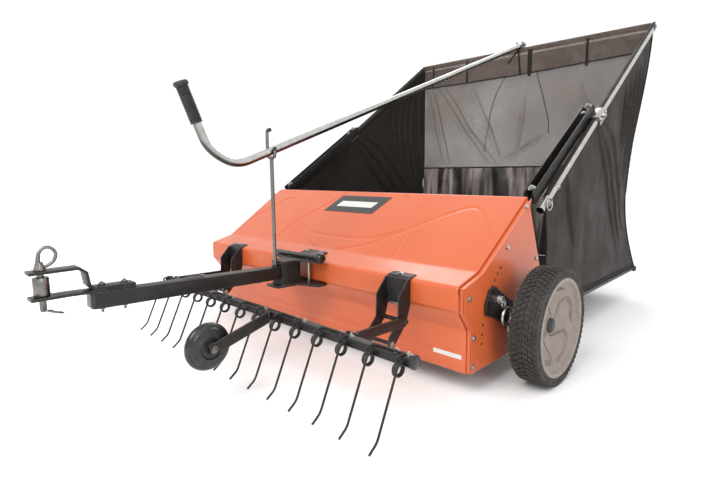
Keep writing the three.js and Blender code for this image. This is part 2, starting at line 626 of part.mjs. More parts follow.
// ---------------------------------------------------------------- hopper frame
const SADDLE_HALF = 15;
addPair('hopper_side_tube', rod(
  at(HOPPER_HALF, TUBE_LOW), at(HOPPER_HALF, TOP_CORNER), TUBE_RADIUS, 16), 'zinc');
const crossHalf = HOPPER_HALF - TUBE_RADIUS - GAP;
addPart('hopper_top_tube', crossRod(-crossHalf, crossHalf, TOP_CORNER, TUBE_RADIUS), 'zinc');

const tubeSlope = (TOP_CORNER[1] - TUBE_LOW[1]) / (TOP_CORNER[0] - TUBE_LOW[0]);
const tubeAt = (y) => [y, TUBE_LOW[1] + (y - TUBE_LOW[0]) * tubeSlope];
const pivotSaddle = join([
  flatBar(tubeAt(HOPPER_PIVOT[0] - 26), tubeAt(HOPPER_PIVOT[0] + 26), 32,
    HOPPER_HALF - SADDLE_HALF + 3, HOPPER_HALF + SADDLE_HALF),
], [rod(at(HOPPER_HALF, tubeAt(400)), at(HOPPER_HALF, tubeAt(640)), TUBE_RADIUS + GAP, 16)]);
addPair('pivot_saddle', pivotSaddle, 'zinc');

// A channel, open above, from the housing's ridge to the hopper's pivot.
const ARM_FACE = HOPPER_HALF - TUBE_RADIUS - 2;
const ARM_START = [104, 470];
const ARM_END = [522, 742];
const SUPPORT_DEPTH = 38;
const SUPPORT_WIDTH = 30;
const CHANNEL_WALL = 3;
const channelHollow = offsetLine([ARM_START, ARM_END], CHANNEL_WALL);
const supportArm = join(
  [flatBar(ARM_START, ARM_END, SUPPORT_DEPTH, ARM_FACE - SUPPORT_WIDTH, ARM_FACE, 6)],
  [flatBar(...channelHollow, SUPPORT_DEPTH,
    ARM_FACE - SUPPORT_WIDTH + CHANNEL_WALL, ARM_FACE - CHANNEL_WALL, 30)]);
addPair('support_arm', supportArm, 'black');

const frameHalf = HOPPER_HALF - 8;
const frameSide = (x) =>
  rod(at(x, [FLOOR_FRONT, FLOOR_HEIGHT]), at(x, [FLOOR_REAR, FLOOR_HEIGHT]), ROD_RADIUS, 12);
addPart('hopper_bottom_frame', join([
  frameSide(-frameHalf), frameSide(frameHalf),
  crossRod(-frameHalf - 14, frameHalf + 14, [FLOOR_REAR, FLOOR_HEIGHT], ROD_RADIUS + 1, 12),
]), 'black');

// ---------------------------------------------------------------- hopper bag
// How far a slack vertical edge has drawn in, from its top (0) to its bottom (1).
const drawIn = (s) => CORNER_PULL * Math.sin(Math.PI * s ** 1.65);
const mix = THREE.MathUtils.lerp;
const SIDE_TOP_GAP = TUBE_RADIUS + 9;
const BAG_FLOOR = FLOOR_HEIGHT + ROD_RADIUS + 3;
const SIDE_FRONT = [150, 200];
const bagSide = thinShell((t, s) => {
  const topY = mix(SIDE_FRONT[0], TOP_CORNER[0] - 2, t);
  const lowY = mix(SIDE_FRONT[1], FLOOR_REAR, t);
  const topZ = tubeAt(topY)[1] - SIDE_TOP_GAP;
  const drawn = drawIn(s) * t ** 2;
  return new THREE.Vector3(
    HOPPER_HALF - 4 - drawn, mix(topY, lowY, s) - drawn, mix(topZ, BAG_FLOOR, s));
}, 8, 8, new THREE.Vector3(FABRIC, 0, 0));
addPair('bag_side', bagSide, 'vinyl');

const REAR_INSET = 6;
const rearPanel = (lowZ, highZ, steps) => thinShell((u, v) => {
  const z = mix(highZ, lowZ, v);
  const s = (TOP_CORNER[1] - SIDE_TOP_GAP - z) / (TOP_CORNER[1] - SIDE_TOP_GAP - BAG_FLOOR);
  const drawn = drawIn(s);
  const side = 2 * u - 1;
  const belly = 14 * (1 - side ** 2) * Math.sin(Math.PI * s);
  return new THREE.Vector3(
    side * (HOPPER_HALF - REAR_INSET - FABRIC - drawn),
    mix(TOP_CORNER[0], FLOOR_REAR, s) - drawn + belly, z);
}, 10, steps, new THREE.Vector3(0, FABRIC, 0));
addPart('bag_mesh', rearPanel(SEAM_HEIGHT + GAP, TOP_CORNER[1] - SIDE_TOP_GAP, 5), 'mesh');
addPart('bag_rear', rearPanel(BAG_FLOOR + FABRIC, SEAM_HEIGHT - GAP, 5), 'vinyl');
addPart('bag_floor', block(
  -HOPPER_HALF + 12, HOPPER_HALF - 12, SIDE_FRONT[1] + 4, FLOOR_REAR - 8,
  BAG_FLOOR - FABRIC + 1, BAG_FLOOR + 1), 'vinyl');

// ---------------------------------------------------------------- dump handle
const HANDLE_RADIUS = 11;
const EAR = 3;
const EAR_FRONT = TOP_CORNER[0] - 12;
const earTop = HANDLE_HINGE[1] + 12;
const bracketBase = TOP_CORNER[1] + TUBE_RADIUS + GAP;
addPart('handle_bracket', join([
  block(-HANDLE_RADIUS - 1 - EAR, -HANDLE_RADIUS - 1, EAR_FRONT, REAR_REACH, bracketBase, earTop),
  block(HANDLE_RADIUS + 1, HANDLE_RADIUS + 1 + EAR, EAR_FRONT, REAR_REACH, bracketBase, earTop),
  block(-HANDLE_RADIUS - 2, HANDLE_RADIUS + 2, REAR_REACH - 15, REAR_REACH, bracketBase, bracketBase + EAR),
]), 'zinc');

const gripTip = at(0, GRIP_TIP);
const gripLine = new THREE.Vector3().subVectors(gripTip, at(0, HANDLE_BENDS[1])).normalize();
const gripFoot = gripTip.clone().addScaledVector(gripLine, -GRIP_LENGTH);
const tail = at(0, [HANDLE_HINGE[0] + 6, handleAt(HANDLE_HINGE[0] + 6)]);
const bendStart = tail.clone().lerp(at(0, HANDLE_BENDS[0]), 0.95);
addPart('dump_handle', join([
  rod(tail, bendStart, HANDLE_RADIUS, 12),
  bentTube([
    bendStart.clone().lerp(tail, 0.01), ...HANDLE_BENDS.map((bend) => at(0, bend)),
    gripTip.clone().addScaledVector(gripLine, -6)], HANDLE_RADIUS, 45, 24, 12),
]), 'zinc');
addPart('handle_grip', join(
  [rod(gripFoot, gripTip, GRIP_RADIUS, 20)],
  [rod(gripFoot.clone().addScaledVector(gripLine, -10),
    gripTip.clone().addScaledVector(gripLine, -5), HANDLE_RADIUS + 2 * GAP, 20)]), 'grip');

export default sweeper;
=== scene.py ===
import json
import math
import random

import bmesh
import bpy
import numpy as np
from mathutils import Matrix, Vector, noise
from mathutils.geometry import tessellate_polygon


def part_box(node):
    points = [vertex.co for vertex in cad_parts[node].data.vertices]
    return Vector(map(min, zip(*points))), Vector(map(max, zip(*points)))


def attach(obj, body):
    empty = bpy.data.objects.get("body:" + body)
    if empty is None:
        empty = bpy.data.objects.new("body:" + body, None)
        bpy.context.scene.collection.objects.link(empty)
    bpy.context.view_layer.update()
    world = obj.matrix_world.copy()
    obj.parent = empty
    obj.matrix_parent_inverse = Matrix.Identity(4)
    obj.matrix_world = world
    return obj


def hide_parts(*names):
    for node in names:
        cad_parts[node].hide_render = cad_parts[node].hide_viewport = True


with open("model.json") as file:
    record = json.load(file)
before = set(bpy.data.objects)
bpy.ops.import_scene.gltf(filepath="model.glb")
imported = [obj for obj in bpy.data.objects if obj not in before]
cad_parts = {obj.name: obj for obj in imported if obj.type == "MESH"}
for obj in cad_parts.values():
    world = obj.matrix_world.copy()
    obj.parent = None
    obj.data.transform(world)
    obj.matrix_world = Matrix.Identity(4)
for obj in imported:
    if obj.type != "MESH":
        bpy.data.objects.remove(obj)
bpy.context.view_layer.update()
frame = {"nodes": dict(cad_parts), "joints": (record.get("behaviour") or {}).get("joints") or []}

MM = 0.001
random.seed(7)


# ------------------------------------------------------------------ reading the frame
def pivot(joint):
    """Where a joint turns, in metres in the frame."""
    return Vector(next(j for j in frame["joints"] if j["name"] == joint)["pos_m"])


AXLE_Y = pivot("wheel_left_spin").y


def local(point):
    """A point of the frame, in millimetres from the axle's ground point."""
    return Vector((point[0] / MM, (point[1] - AXLE_Y) / MM, point[2] / MM))


def place(point):
    """The same, back to the frame's metres."""
    return Vector((point[0] * MM, point[1] * MM + AXLE_Y, point[2] * MM))


def box(node):
    low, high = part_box(node)
    return local(low), local(high)


def end_loops(node, end=1):
    """The outlines, as (y, z) points, of a node's flat face at its end along X, longest first."""
    mesh = frame["nodes"][node].data
    low, high = box(node)
    level = high.x if end > 0 else low.x
    edges = set()
    for face in mesh.polygons:
        corners = [local(mesh.vertices[i].co) for i in face.vertices]
        if any(abs(c.x - level) > 0.02 for c in corners):
            continue
        keys = [(round(c.y, 1), round(c.z, 1)) for c in corners]
        for edge in zip(keys, keys[1:] + keys[:1]):
            if edge[::-1] in edges:
                edges.remove(edge[::-1])
            else:
                edges.add(edge)
    following = dict(sorted(edges))
    loops = []
    while following:
        start = next(iter(following))
        point = following.pop(start)
        loop = [start]
        while point != start:
            loop.append(point)
            point = following.pop(point)
        loops.append(loop)
    return sorted(loops, key=lambda loop: -length_of(loop + loop[:1]))


def length_of(line):
    return sum(math.dist(a, b) for a, b in zip(line, line[1:]))


def outer_line(node, end=1):
    """The longer side of a bent sheet's outline, between its two short ends."""
    loop = end_loops(node, end)[0]
    count = len(loop)
    sides = sorted(range(count), key=lambda i: math.dist(loop[i], loop[(i + 1) % count]))
    first, second = sorted(sides[:2])
    chains = [loop[first + 1:second + 1], loop[second + 1:] + loop[:first + 1]]
    return max(chains, key=length_of)


# ------------------------------------------------------------------ shapes
class Shape:
    """Vertices, in millimetres, and faces of one or more forms."""

    def __init__(self, verts=(), faces=()):
        self.verts = [tuple(v) for v in verts]
        self.faces = [tuple(f) for f in faces]

    def __add__(self, other):
        base = len(self.verts)
        moved = [tuple(i + base for i in f) for f in other.faces]
        return Shape(self.verts + other.verts, self.faces + moved)

    def mirrored(self):
        flipped = [(-x, y, z) for x, y, z in self.verts]
        return Shape(flipped, [f[::-1] for f in self.faces])


def all_of(shapes):
    whole = Shape()
    for shape in shapes:
        base = len(whole.verts)
        whole.verts.extend(shape.verts)
        whole.faces.extend(tuple(i + base for i in f) for f in shape.faces)
    return whole


def both(shape):
    return shape + shape.mirrored()


def rounded(line, radius, steps=5):
    """The line with its inner corners rounded off."""
    points = [Vector(p) for p in line]
    made = [points[0]]
    for before, corner, after in zip(points, points[1:], points[2:]):
        a = corner.lerp(before, min(0.45, radius / (corner - before).length))
        b = corner.lerp(after, min(0.45, radius / (corner - after).length))
        for i in range(steps + 1):
            t = i / steps
            made.append(a.lerp(corner, t).lerp(corner.lerp(b, t), t))
    return made + [points[-1]]


def spaced(line, step):
    """The line with extra points, so that none is further apart than step."""
    points = [Vector(p) for p in line]
    made = [points[0]]
    for a, b in zip(points, points[1:]):
        count = max(1, math.ceil((b - a).length / step))
        made.extend(a.lerp(b, (i + 1) / count) for i in range(count))
    return made


def smooth(points, steps=8, closed=False):
    """A Catmull-Rom curve through the points."""
    points = [Vector(p) for p in points]
    count = len(points)
    made = []
    for i in range(count if closed else count - 1):
        if closed:
            a, b, c, d = (points[(i + k - 1) % count] for k in range(4))
        else:
            a, b, c, d = (points[min(max(i + k - 1, 0), count - 1)] for k in range(4))
        for s in range(steps):
            t = s / steps
            made.append(0.5 * (2 * b + (c - a) * t + (2 * a - 5 * b + 4 * c - d) * t**2
                               + (3 * b - a - 3 * c + d) * t**3))
    return made if closed else made + [points[-1]]


X_AXIS = Vector((1, 0, 0))
Z_AXIS = Vector((0, 0, 1))


def pair(*shapes):
    """Left and right, each with its own shapes: the right ones are mirrored."""
    return ("left", *shapes), ("right", *(shape.mirrored() for shape in shapes))


def circle(centre, radius, count):
    """Points round a circle that faces along X."""
    turns = [2 * math.pi * i / count for i in range(count)]
    return [centre + Vector((0, radius * math.cos(a), radius * math.sin(a))) for a in turns]


def ring_faces(a, b, count):
    """The faces between two rings of corners, which start at corners a and b."""
    return [(a + k, a + (k + 1) % count, b + (k + 1) % count, b + k) for k in range(count)]


def tangents_of(path, closed=False):
    count = len(path)
    if closed:
        return [(path[(i + 1) % count] - path[i - 1]).normalized() for i in range(count)]
    return [(path[min(i + 1, count - 1)] - path[max(i - 1, 0)]).normalized() for i in range(count)]


def tube(points, radius, sides=16, closed=False):
    """A round bar along a path, without twist. The radius may change from point to point."""
    path = [Vector(p) for p in points]
    count = len(path)
    radii = radius if hasattr(radius, "__len__") else [radius] * count
    tangents = tangents_of(path, closed)
    normal = tangents[0].orthogonal().normalized()
    verts = []
    for point, tangent, size in zip(path, tangents, radii):
        normal = (normal - tangent * normal.dot(tangent)).normalized()
        across = tangent.cross(normal)
        for k in range(sides):
            angle = 2 * math.pi * k / sides
            verts.append(point + (normal * math.cos(angle) + across * math.sin(angle)) * size)
    faces = []
    for i in range(count if closed else count - 1):
        faces.extend(ring_faces(i * sides, (i + 1) % count * sides, sides))
    if not closed:
        faces.append(tuple(range(sides))[::-1])
        faces.append(tuple(range((count - 1) * sides, count * sides)))
    return Shape(verts, faces)


def turned(profile, base, axis, sides=32, start=0.0):
    """A turned form: (radius, height) points about an axis from a base point. A profile that neither
    starts nor ends on the axis closes on itself."""
    axis = Vector(axis).normalized()
    u = axis.orthogonal().normalized()
    v = axis.cross(u)
    verts = []
    for radius, height in profile:
        for k in range(sides):
            angle = start + 2 * math.pi * k / sides
            spoke = u * math.cos(angle) + v * math.sin(angle)
            verts.append(Vector(base) + axis * height + spoke * radius)
    closed = profile[0][0] > 0 and profile[-1][0] > 0
    count = len(profile)
    faces = []
    for i in range(count if closed else count - 1):
        faces.extend(ring_faces(i * sides, (i + 1) % count * sides, sides))
    return Shape(verts, faces)


def extruded(outline, x0, x1, holes=()):
    """A flat outline in (y, z) with holes, from x0 to x1."""
    loops = [outline, *holes]
    flat = [p for loop in loops for p in loop]
    count = len(flat)
    triangles = tessellate_polygon([[Vector((y, z, 0)) for y, z in loop] for loop in loops])
    verts = [(x, y, z) for x in (x0, x1) for y, z in flat]
    faces = [t[::-1] for t in triangles] + [tuple(i + count for i in t) for t in triangles]
    base = 0
    for loop in loops:
        faces += ring_faces(base, base + count, len(loop))
        base += len(loop)
    return Shape(verts, faces)


def surface(rows):
    """An open sheet through rows of points."""
    across = len(rows[0])
    starts = [i * across + j for i in range(len(rows) - 1) for j in range(across - 1)]
    return Shape([p for row in rows for p in row], [(a, a + 1, a + across + 1, a + across) for a in starts])


def block(low, high):
    (x0, y0, z0), (x1, y1, z1) = low, high
    return extruded([(y0, z0), (y1, z0), (y1, z1), (y0, z1)], x0, x1)


def grid(point, columns, rows):
    """An open sheet through point(u, v), where u and v run from 0 to 1."""
    return surface([[point(i / columns, j / rows) for i in range(columns + 1)] for j in range(rows + 1)])


def bolt(point, axis, size=6, washer=1.55, stem=0.0):
    """A hexagon head on a washer; size is half the head's width, stem a thread end past it."""
    head = size * 0.75
    hexagon = [(0, 1.0), (size * 1.12, 1.0), (size * 1.12, head), (size * 0.9, head + 0.8), (0, head + 0.8)]
    forms = [
        turned([(0, 0), (size * washer, 0), (size * washer, 1.2), (0, 1.2)], point, axis, 24),
        turned(hexagon, point, axis, 6, start=0.4),
    ]
    if stem:
        thread = [(0, 0), (size * 0.5, 0), (size * 0.5, head + stem), (0, head + stem + 0.6)]
        forms.append(turned(thread, point, axis, 14))
    return all_of(forms)


# ------------------------------------------------------------------ materials
class Paint:
    """A node material with short ways to add what it is made of."""

    def __init__(self, name, color, roughness, metallic=0.0):
        self.material = bpy.data.materials.new(name)
        self.material.use_nodes = True
        self.nodes = self.material.node_tree.nodes
        self.links = self.material.node_tree.links
        self.shader = self.nodes["Principled BSDF"]
        self.shader.inputs["Base Color"].default_value = (*color, 1)
        self.shader.inputs["Roughness"].default_value = roughness
        self.shader.inputs["Metallic"].default_value = metallic
        self.place = self.nodes.new("ShaderNodeTexCoord").outputs["Object"]
        self.color = None
        self.normal = None

    def node(self, kind, values=None, **settings):
        made = self.nodes.new(kind)
        for key, value in settings.items():
            setattr(made, key, value)
        for key, value in (values or {}).items():
            socket = made.inputs[key]
            if isinstance(value, bpy.types.NodeSocket):
                self.links.new(value, socket)
            else:
                socket.default_value = value
        return made

    def mapped(self, **values):
        return self.node("ShaderNodeMapping", {"Vector": self.place, **values}).outputs["Vector"]

    def noise(self, scale, detail=3.0, vector=None, distortion=0.0):
        values = {"Vector": vector or self.place, "Scale": scale, "Detail": detail, "Distortion": distortion}
        return self.node("ShaderNodeTexNoise", values).outputs["Fac"]

    def ramp(self, fac, low, high, out_low=0.0, out_high=1.0):
        values = {"Value": fac, "From Min": low, "From Max": high, "To Min": out_low, "To Max": out_high}
        return self.node("ShaderNodeMapRange", values).outputs["Result"]

    def math(self, operation, a, b):
        return self.node("ShaderNodeMath", {0: a, 1: b}, operation=operation).outputs["Value"]

    def tint(self, color, fac):
        """Mixes a colour over what is there."""
        mix = self.node("ShaderNodeMix", {"Factor": fac}, data_type="RGBA")
        under, over = (i for i in mix.inputs if i.type == "RGBA")
        over.default_value = (*color, 1)
        if self.color is None:
            under.default_value = self.shader.inputs["Base Color"].default_value
        else:
            self.links.new(self.color, under)
        self.color = next(o for o in mix.outputs if o.type == "RGBA")
        self.links.new(self.color, self.shader.inputs["Base Color"])

    def mottle(self, color, scale, detail, low, high, amount=1.0):
        """Patches of a colour where a noise passes from one level to another."""
        self.tint(color, self.ramp(self.noise(scale, detail), low, high, 0, amount))

    def bump(self, height, distance, strength=1.0):
        values = {"Height": height, "Distance": distance, "Strength": strength}
        if self.normal is not None:
            values["Normal"] = self.normal
        self.normal = self.node("ShaderNodeBump", values).outputs["Normal"]
        self.links.new(self.normal, self.shader.inputs["Normal"])

    def grain(self, scale, detail, distance, strength):
        self.bump(self.noise(scale, detail), distance, strength)

    def sheen(self, scale, detail, low, high):
        """Roughness that wanders between two values."""
        fac = self.ramp(self.noise(scale, detail), 0.3, 0.7, low, high)
        self.links.new(fac, self.shader.inputs["Roughness"])

    def edges(self, radius, low=0.02, high=0.25):
        """1 on sharp outer edges and 0 on flat stretches."""
        soft = self.node("ShaderNodeBevel", {"Radius": radius}, samples=4).outputs["Normal"]
        true = self.node("ShaderNodeNewGeometry").outputs["Normal"]
        dot = self.node("ShaderNodeVectorMath", {0: soft, 1: true}, operation="DOT_PRODUCT").outputs["Value"]
        return self.ramp(self.math("SUBTRACT", 1.0, dot), low, high)

    def tint_edges_wear_and_highlight(self, color, radius, amount):
        """Edges tinted another colour: partly rubbed wear, partly a painted highlight on the edges."""
        self.tint(color, self.math("MULTIPLY", self.edges(radius), amount))

    def shade_underside(self, color, amount):
        """Paints shade on what faces down: darkens it towards the underside."""
        across = self.nodes.new("ShaderNodeTexCoord").outputs["Normal"]
        height = self.node("ShaderNodeSeparateXYZ", {"Vector": across}).outputs["Z"]
        self.tint(color, self.ramp(height, 0.05, -0.45, 0.0, amount))

    def set(self, **values):
        for key, value in values.items():
            self.shader.inputs[key.replace("_", " ")].default_value = value


def shaded(color, share):
    return tuple(share * c for c in color)


def orange_enamel():
    paint = Paint("orange_enamel", (0.52, 0.088, 0.020), 0.34)
    paint.mottle((0.56, 0.112, 0.032), 2.2, 2, 0.35, 0.75)
    paint.mottle((0.38, 0.058, 0.014), 38, 5, 0.62, 0.85, 0.35)
    # pale orange edges: a painted highlight along the bends, partly edge wear
    paint.tint_edges_wear_and_highlight((0.75, 0.30, 0.16), 0.0025, 0.65)
    paint.sheen(14, 4, 0.28, 0.42)
    paint.grain(900, 2, 0.00012, 0.5)
    paint.grain(7, 1, 0.002, 0.25)
    paint.set(Coat_Weight=0.2, Coat_Roughness=0.2)
    return paint.material


def black_coat():
    paint = Paint("black_coat", (0.010, 0.0085, 0.008), 0.4)
    paint.mottle((0.020, 0.017, 0.015), 30, 4, 0.45, 0.75)
    # pale grey on the edges, in patches: partly rubbed wear, partly a painted highlight on the bevels
    wear_and_highlight = paint.math("MULTIPLY", paint.edges(0.0018), paint.ramp(paint.noise(120, 3), 0.35, 0.6))
    paint.tint((0.30, 0.28, 0.26), paint.math("MULTIPLY", wear_and_highlight, 0.85))
    paint.sheen(60, 4, 0.34, 0.5)
    paint.grain(1400, 2, 0.00015, 0.6)
    paint.set(Specular_IOR_Level=0.35)
    return paint.material


def zinc_plate(name, shade):
    paint = Paint(name, shaded((0.50, 0.49, 0.47), shade), 0.3, 1.0)
    paint.mottle(shaded((0.34, 0.33, 0.31), shade), 45, 5, 0.4, 0.8)
    paint.mottle(shaded((0.55, 0.49, 0.36), shade), 160, 3, 0.6, 0.85, 0.5)
    # painted shade on the undersides
    paint.shade_underside((0.10, 0.095, 0.085), 0.6)
    paint.sheen(220, 4, 0.22, 0.4)
    paint.grain(700, 3, 0.00008, 0.5)
    return paint.material


def tube_steel():
    paint = Paint("galvanised_tube", (0.56, 0.55, 0.53), 0.24, 1.0)
    paint.mottle((0.44, 0.43, 0.41), 60, 4, 0.4, 0.75)
    paint.mottle((0.70, 0.69, 0.66), 9, 3, 0.55, 0.8)
    # painted shade and painted reflection of the dark parts beneath, on the tube's undersides
    paint.shade_underside((0.045, 0.042, 0.038), 0.92)
    paint.sheen(90, 4, 0.18, 0.32)
    return paint.material


def hub_plastic():
    paint = Paint("hub_plastic", (0.25, 0.205, 0.185), 0.5)
    paint.mottle((0.19, 0.15, 0.132), 60, 5, 0.45, 0.8, 0.8)
    paint.mottle((0.31, 0.26, 0.24), 11, 3, 0.55, 0.8, 0.7)
    # pale edges: painted highlight, partly rubbed wear
    paint.tint_edges_wear_and_highlight((0.60, 0.56, 0.53), 0.002, 0.8)
    paint.sheen(40, 3, 0.45, 0.62)
    paint.grain(800, 2, 0.0002, 0.5)
    return paint.material


def tyre_rubber():
    paint = Paint("tyre_rubber", (0.012, 0.010, 0.009), 0.7)
    paint.mottle((0.028, 0.025, 0.022), 35, 5, 0.45, 0.75)
    # grey block edges: painted highlight, partly worn rubber
    paint.tint_edges_wear_and_highlight((0.20, 0.185, 0.17), 0.0012, 0.75)
    paint.sheen(50, 4, 0.55, 0.85)
    paint.grain(1100, 3, 0.0002, 0.7)
    return paint.material


def gloss_black():
    paint = Paint("moulded_black", (0.012, 0.012, 0.013), 0.22)
    paint.mottle((0.03, 0.03, 0.03), 40, 4, 0.5, 0.8)
    paint.sheen(25, 4, 0.16, 0.34)
    paint.grain(500, 2, 0.0001, 0.4)
    return paint.material


def soft_grip():
    paint = Paint("grip_rubber", (0.016, 0.016, 0.016), 0.55)
    paint.mottle((0.04, 0.038, 0.036), 80, 4, 0.45, 0.75)
    paint.sheen(70, 3, 0.45, 0.7)
    paint.grain(1500, 2, 0.0001, 0.6)
    return paint.material


def bristle_fibre():
    paint = Paint("bristle_fibre", (0.02, 0.02, 0.021), 0.6)
    paint.mottle((0.07, 0.07, 0.07), 260, 3, 0.4, 0.7)
    paint.grain(1800, 2, 0.0002, 0.8)
    return paint.material


def weave(paint, pitch, turns):
    """The heights of a plain weave's two sets of threads, each turned its own way."""
    waves = []
    for turn in turns:
        values = {"Vector": paint.mapped(Rotation=turn), "Scale": 0.314 / pitch, "Distortion": 0.6,
                  "Detail": 1.0, "Detail Scale": 3.0}
        waves.append(paint.node("ShaderNodeTexWave", values, bands_direction="Z").outputs["Fac"])
    return waves


def bag_cloth():
    color = (0.021, 0.0165, 0.014)
    paint = Paint("bag_cloth", color, 0.6)
    down, along = weave(paint, 0.0016, [(0, 0, 0), (math.radians(90), 0, math.radians(45))])
    thread = paint.math("MULTIPLY", down, along)
    paint.tint(shaded(color, 1.9), paint.ramp(thread, 0.2, 0.9, 0, 0.8))
    paint.mottle(shaded(color, 0.55), 5, 4, 0.5, 0.75, 0.7)
    paint.mottle((0.05, 0.042, 0.034), 16, 5, 0.6, 0.85, 0.4)
    paint.sheen(12, 3, 0.5, 0.7)
    paint.bump(thread, 0.0004, 0.7)
    paint.grain(26, 3, 0.003, 0.35)
    paint.set(Specular_IOR_Level=0.22)
    return paint.material


def coated_cloth():
    """The rear panel's smooth coated cloth: glossier, with pale bands of painted highlight running down it,
    broken by dark streaks of painted shade.
    """
    paint = Paint("coated_cloth", (0.022, 0.018, 0.017), 0.3)
    highlight_bands = paint.noise(8.5, 3, paint.mapped(Scale=(1.0, 1.0, 0.12)), 0.4)
    paint.tint((0.33, 0.275, 0.25), paint.ramp(highlight_bands, 0.45, 0.55, 0, 0.9))
    shade_streaks = paint.noise(40, 4, paint.mapped(Scale=(1.0, 1.0, 0.07)), 0.5)
    paint.tint((0.03, 0.024, 0.026), paint.ramp(shade_streaks, 0.5, 0.62, 0, 0.8))
    paint.sheen(20, 3, 0.24, 0.42)
    paint.grain(500, 2, 0.0002, 0.4)
    return paint.material


def bag_netting():
    """Open woven netting: threads with gaps that light and background pass through."""
    paint = Paint("bag_netting", (0.088, 0.060, 0.045), 0.7)
    paint.mottle((0.125, 0.090, 0.068), 7, 4, 0.4, 0.7)
    fold = paint.node("ShaderNodeAttribute", attribute_name="fold").outputs["Fac"]
    # painted highlight on each crease's ridge and painted shade just beside it, from the fold values
    paint.tint((0.30, 0.245, 0.20), paint.ramp(fold, 0.25, 1.0, 0, 0.6))
    paint.tint((0.035, 0.027, 0.022), paint.ramp(fold, -0.15, -1.0, 0, 0.65))
    down, along = weave(paint, 0.0022, [(0, 0, 0), (0, math.radians(90), 0)])
    thread = paint.math("MAXIMUM", down, along)
    paint.bump(thread, 0.0005, 0.6)
    gap = paint.node("ShaderNodeBsdfTransparent")
    cover = paint.math("ADD", paint.ramp(thread, 0.35, 0.85, 0.24, 0.80),
                       paint.ramp(paint.noise(3.2, 3), 0.35, 0.7, 0.10, -0.06))
    folded = paint.math("ADD", cover, paint.math("MULTIPLY", paint.math("ABSOLUTE", fold, 0.0), 0.25))
    mix = paint.node("ShaderNodeMixShader", {"Fac": folded})
    paint.links.new(gap.outputs["BSDF"], mix.inputs[1])
    paint.links.new(paint.shader.outputs["BSDF"], mix.inputs[2])
    paint.links.new(mix.outputs["Shader"], paint.nodes["Material Output"].inputs["Surface"])
    return paint.material


def webbing():
    paint = Paint("webbing", (0.010, 0.008, 0.007), 0.7)
    rib = paint.node("ShaderNodeTexWave", {"Vector": paint.place, "Scale": 160.0, "Distortion": 0.4},
                     bands_direction="DIAGONAL").outputs["Fac"]
    paint.tint((0.024, 0.020, 0.017), paint.ramp(rib, 0.3, 0.8, 0, 0.8))
    paint.bump(rib, 0.0004, 0.8)
    paint.set(Specular_IOR_Level=0.2)
    return paint.material


def label_film(name, color):
    paint = Paint(name, color, 0.35)
    paint.mottle(shaded(color, 0.8), 70, 4, 0.5, 0.8, 0.5)
    paint.grain(300, 2, 0.0001, 0.3)
    return paint.material


ORANGE = orange_enamel()
BLACK = black_coat()
ZINC = zinc_plate("zinc_plate", 1.0)
DULL_ZINC = zinc_plate("dull_zinc", 0.42)
STEEL = tube_steel()
HUB = hub_plastic()
RUBBER = tyre_rubber()
GLOSS = gloss_black()
GRIP = soft_grip()
BRISTLE = bristle_fibre()
CLOTH = bag_cloth()
COATED = coated_cloth()
NETTING = bag_netting()
WEBBING = webbing()
LABEL_DARK = label_film("label_dark", (0.02, 0.02, 0.02))
LABEL_PALE = label_film("label_pale", (0.62, 0.61, 0.58))


# ------------------------------------------------------------------ making pieces
MERGE = 0.00002                         # corners closer than this, in metres, are one
SMOOTH_BELOW = 35                       # degrees between faces


def build(name, shape, material, body, angle=SMOOTH_BELOW, bevel=0.0, stands_for=(), solidify=0.0):
    """One piece of the object, from a shape in millimetres, riding on a CAD body. It may stand for CAD
    nodes, and an open sheet is given a thickness by solidify."""
    mesh = bpy.data.meshes.new(name)
    mesh.from_pydata([place(v) for v in shape.verts], [], shape.faces)
    work = bmesh.new()
    work.from_mesh(mesh)
    bmesh.ops.remove_doubles(work, verts=work.verts, dist=MERGE)
    bmesh.ops.dissolve_degenerate(work, dist=MERGE / 2, edges=work.edges)
    if not solidify:
        bmesh.ops.recalc_face_normals(work, faces=work.faces)
    work.to_mesh(mesh)
    work.free()
    mesh.shade_smooth()
    mesh.set_sharp_from_angle(angle=math.radians(angle))
    mesh.materials.append(material)
    piece = bpy.data.objects.new(name, mesh)
    bpy.context.scene.collection.objects.link(piece)
    if solidify:
        sheet = piece.modifiers.new("thickness", "SOLIDIFY")
        sheet.thickness = solidify * MM
        sheet.offset = -1
        sheet.use_even_offset = True
    if bevel:
        add_bevel(piece, bevel)
    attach(piece, body)
    if stands_for:
        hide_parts(*stands_for)
    return piece


def add_bevel(piece, width, segments=2):
    edge = piece.modifiers.new("edges", "BEVEL")
    edge.width = width * MM
    edge.segments = segments
    edge.limit_method = "ANGLE"
    edge.angle_limit = math.radians(40)
    edge.use_clamp_overlap = True


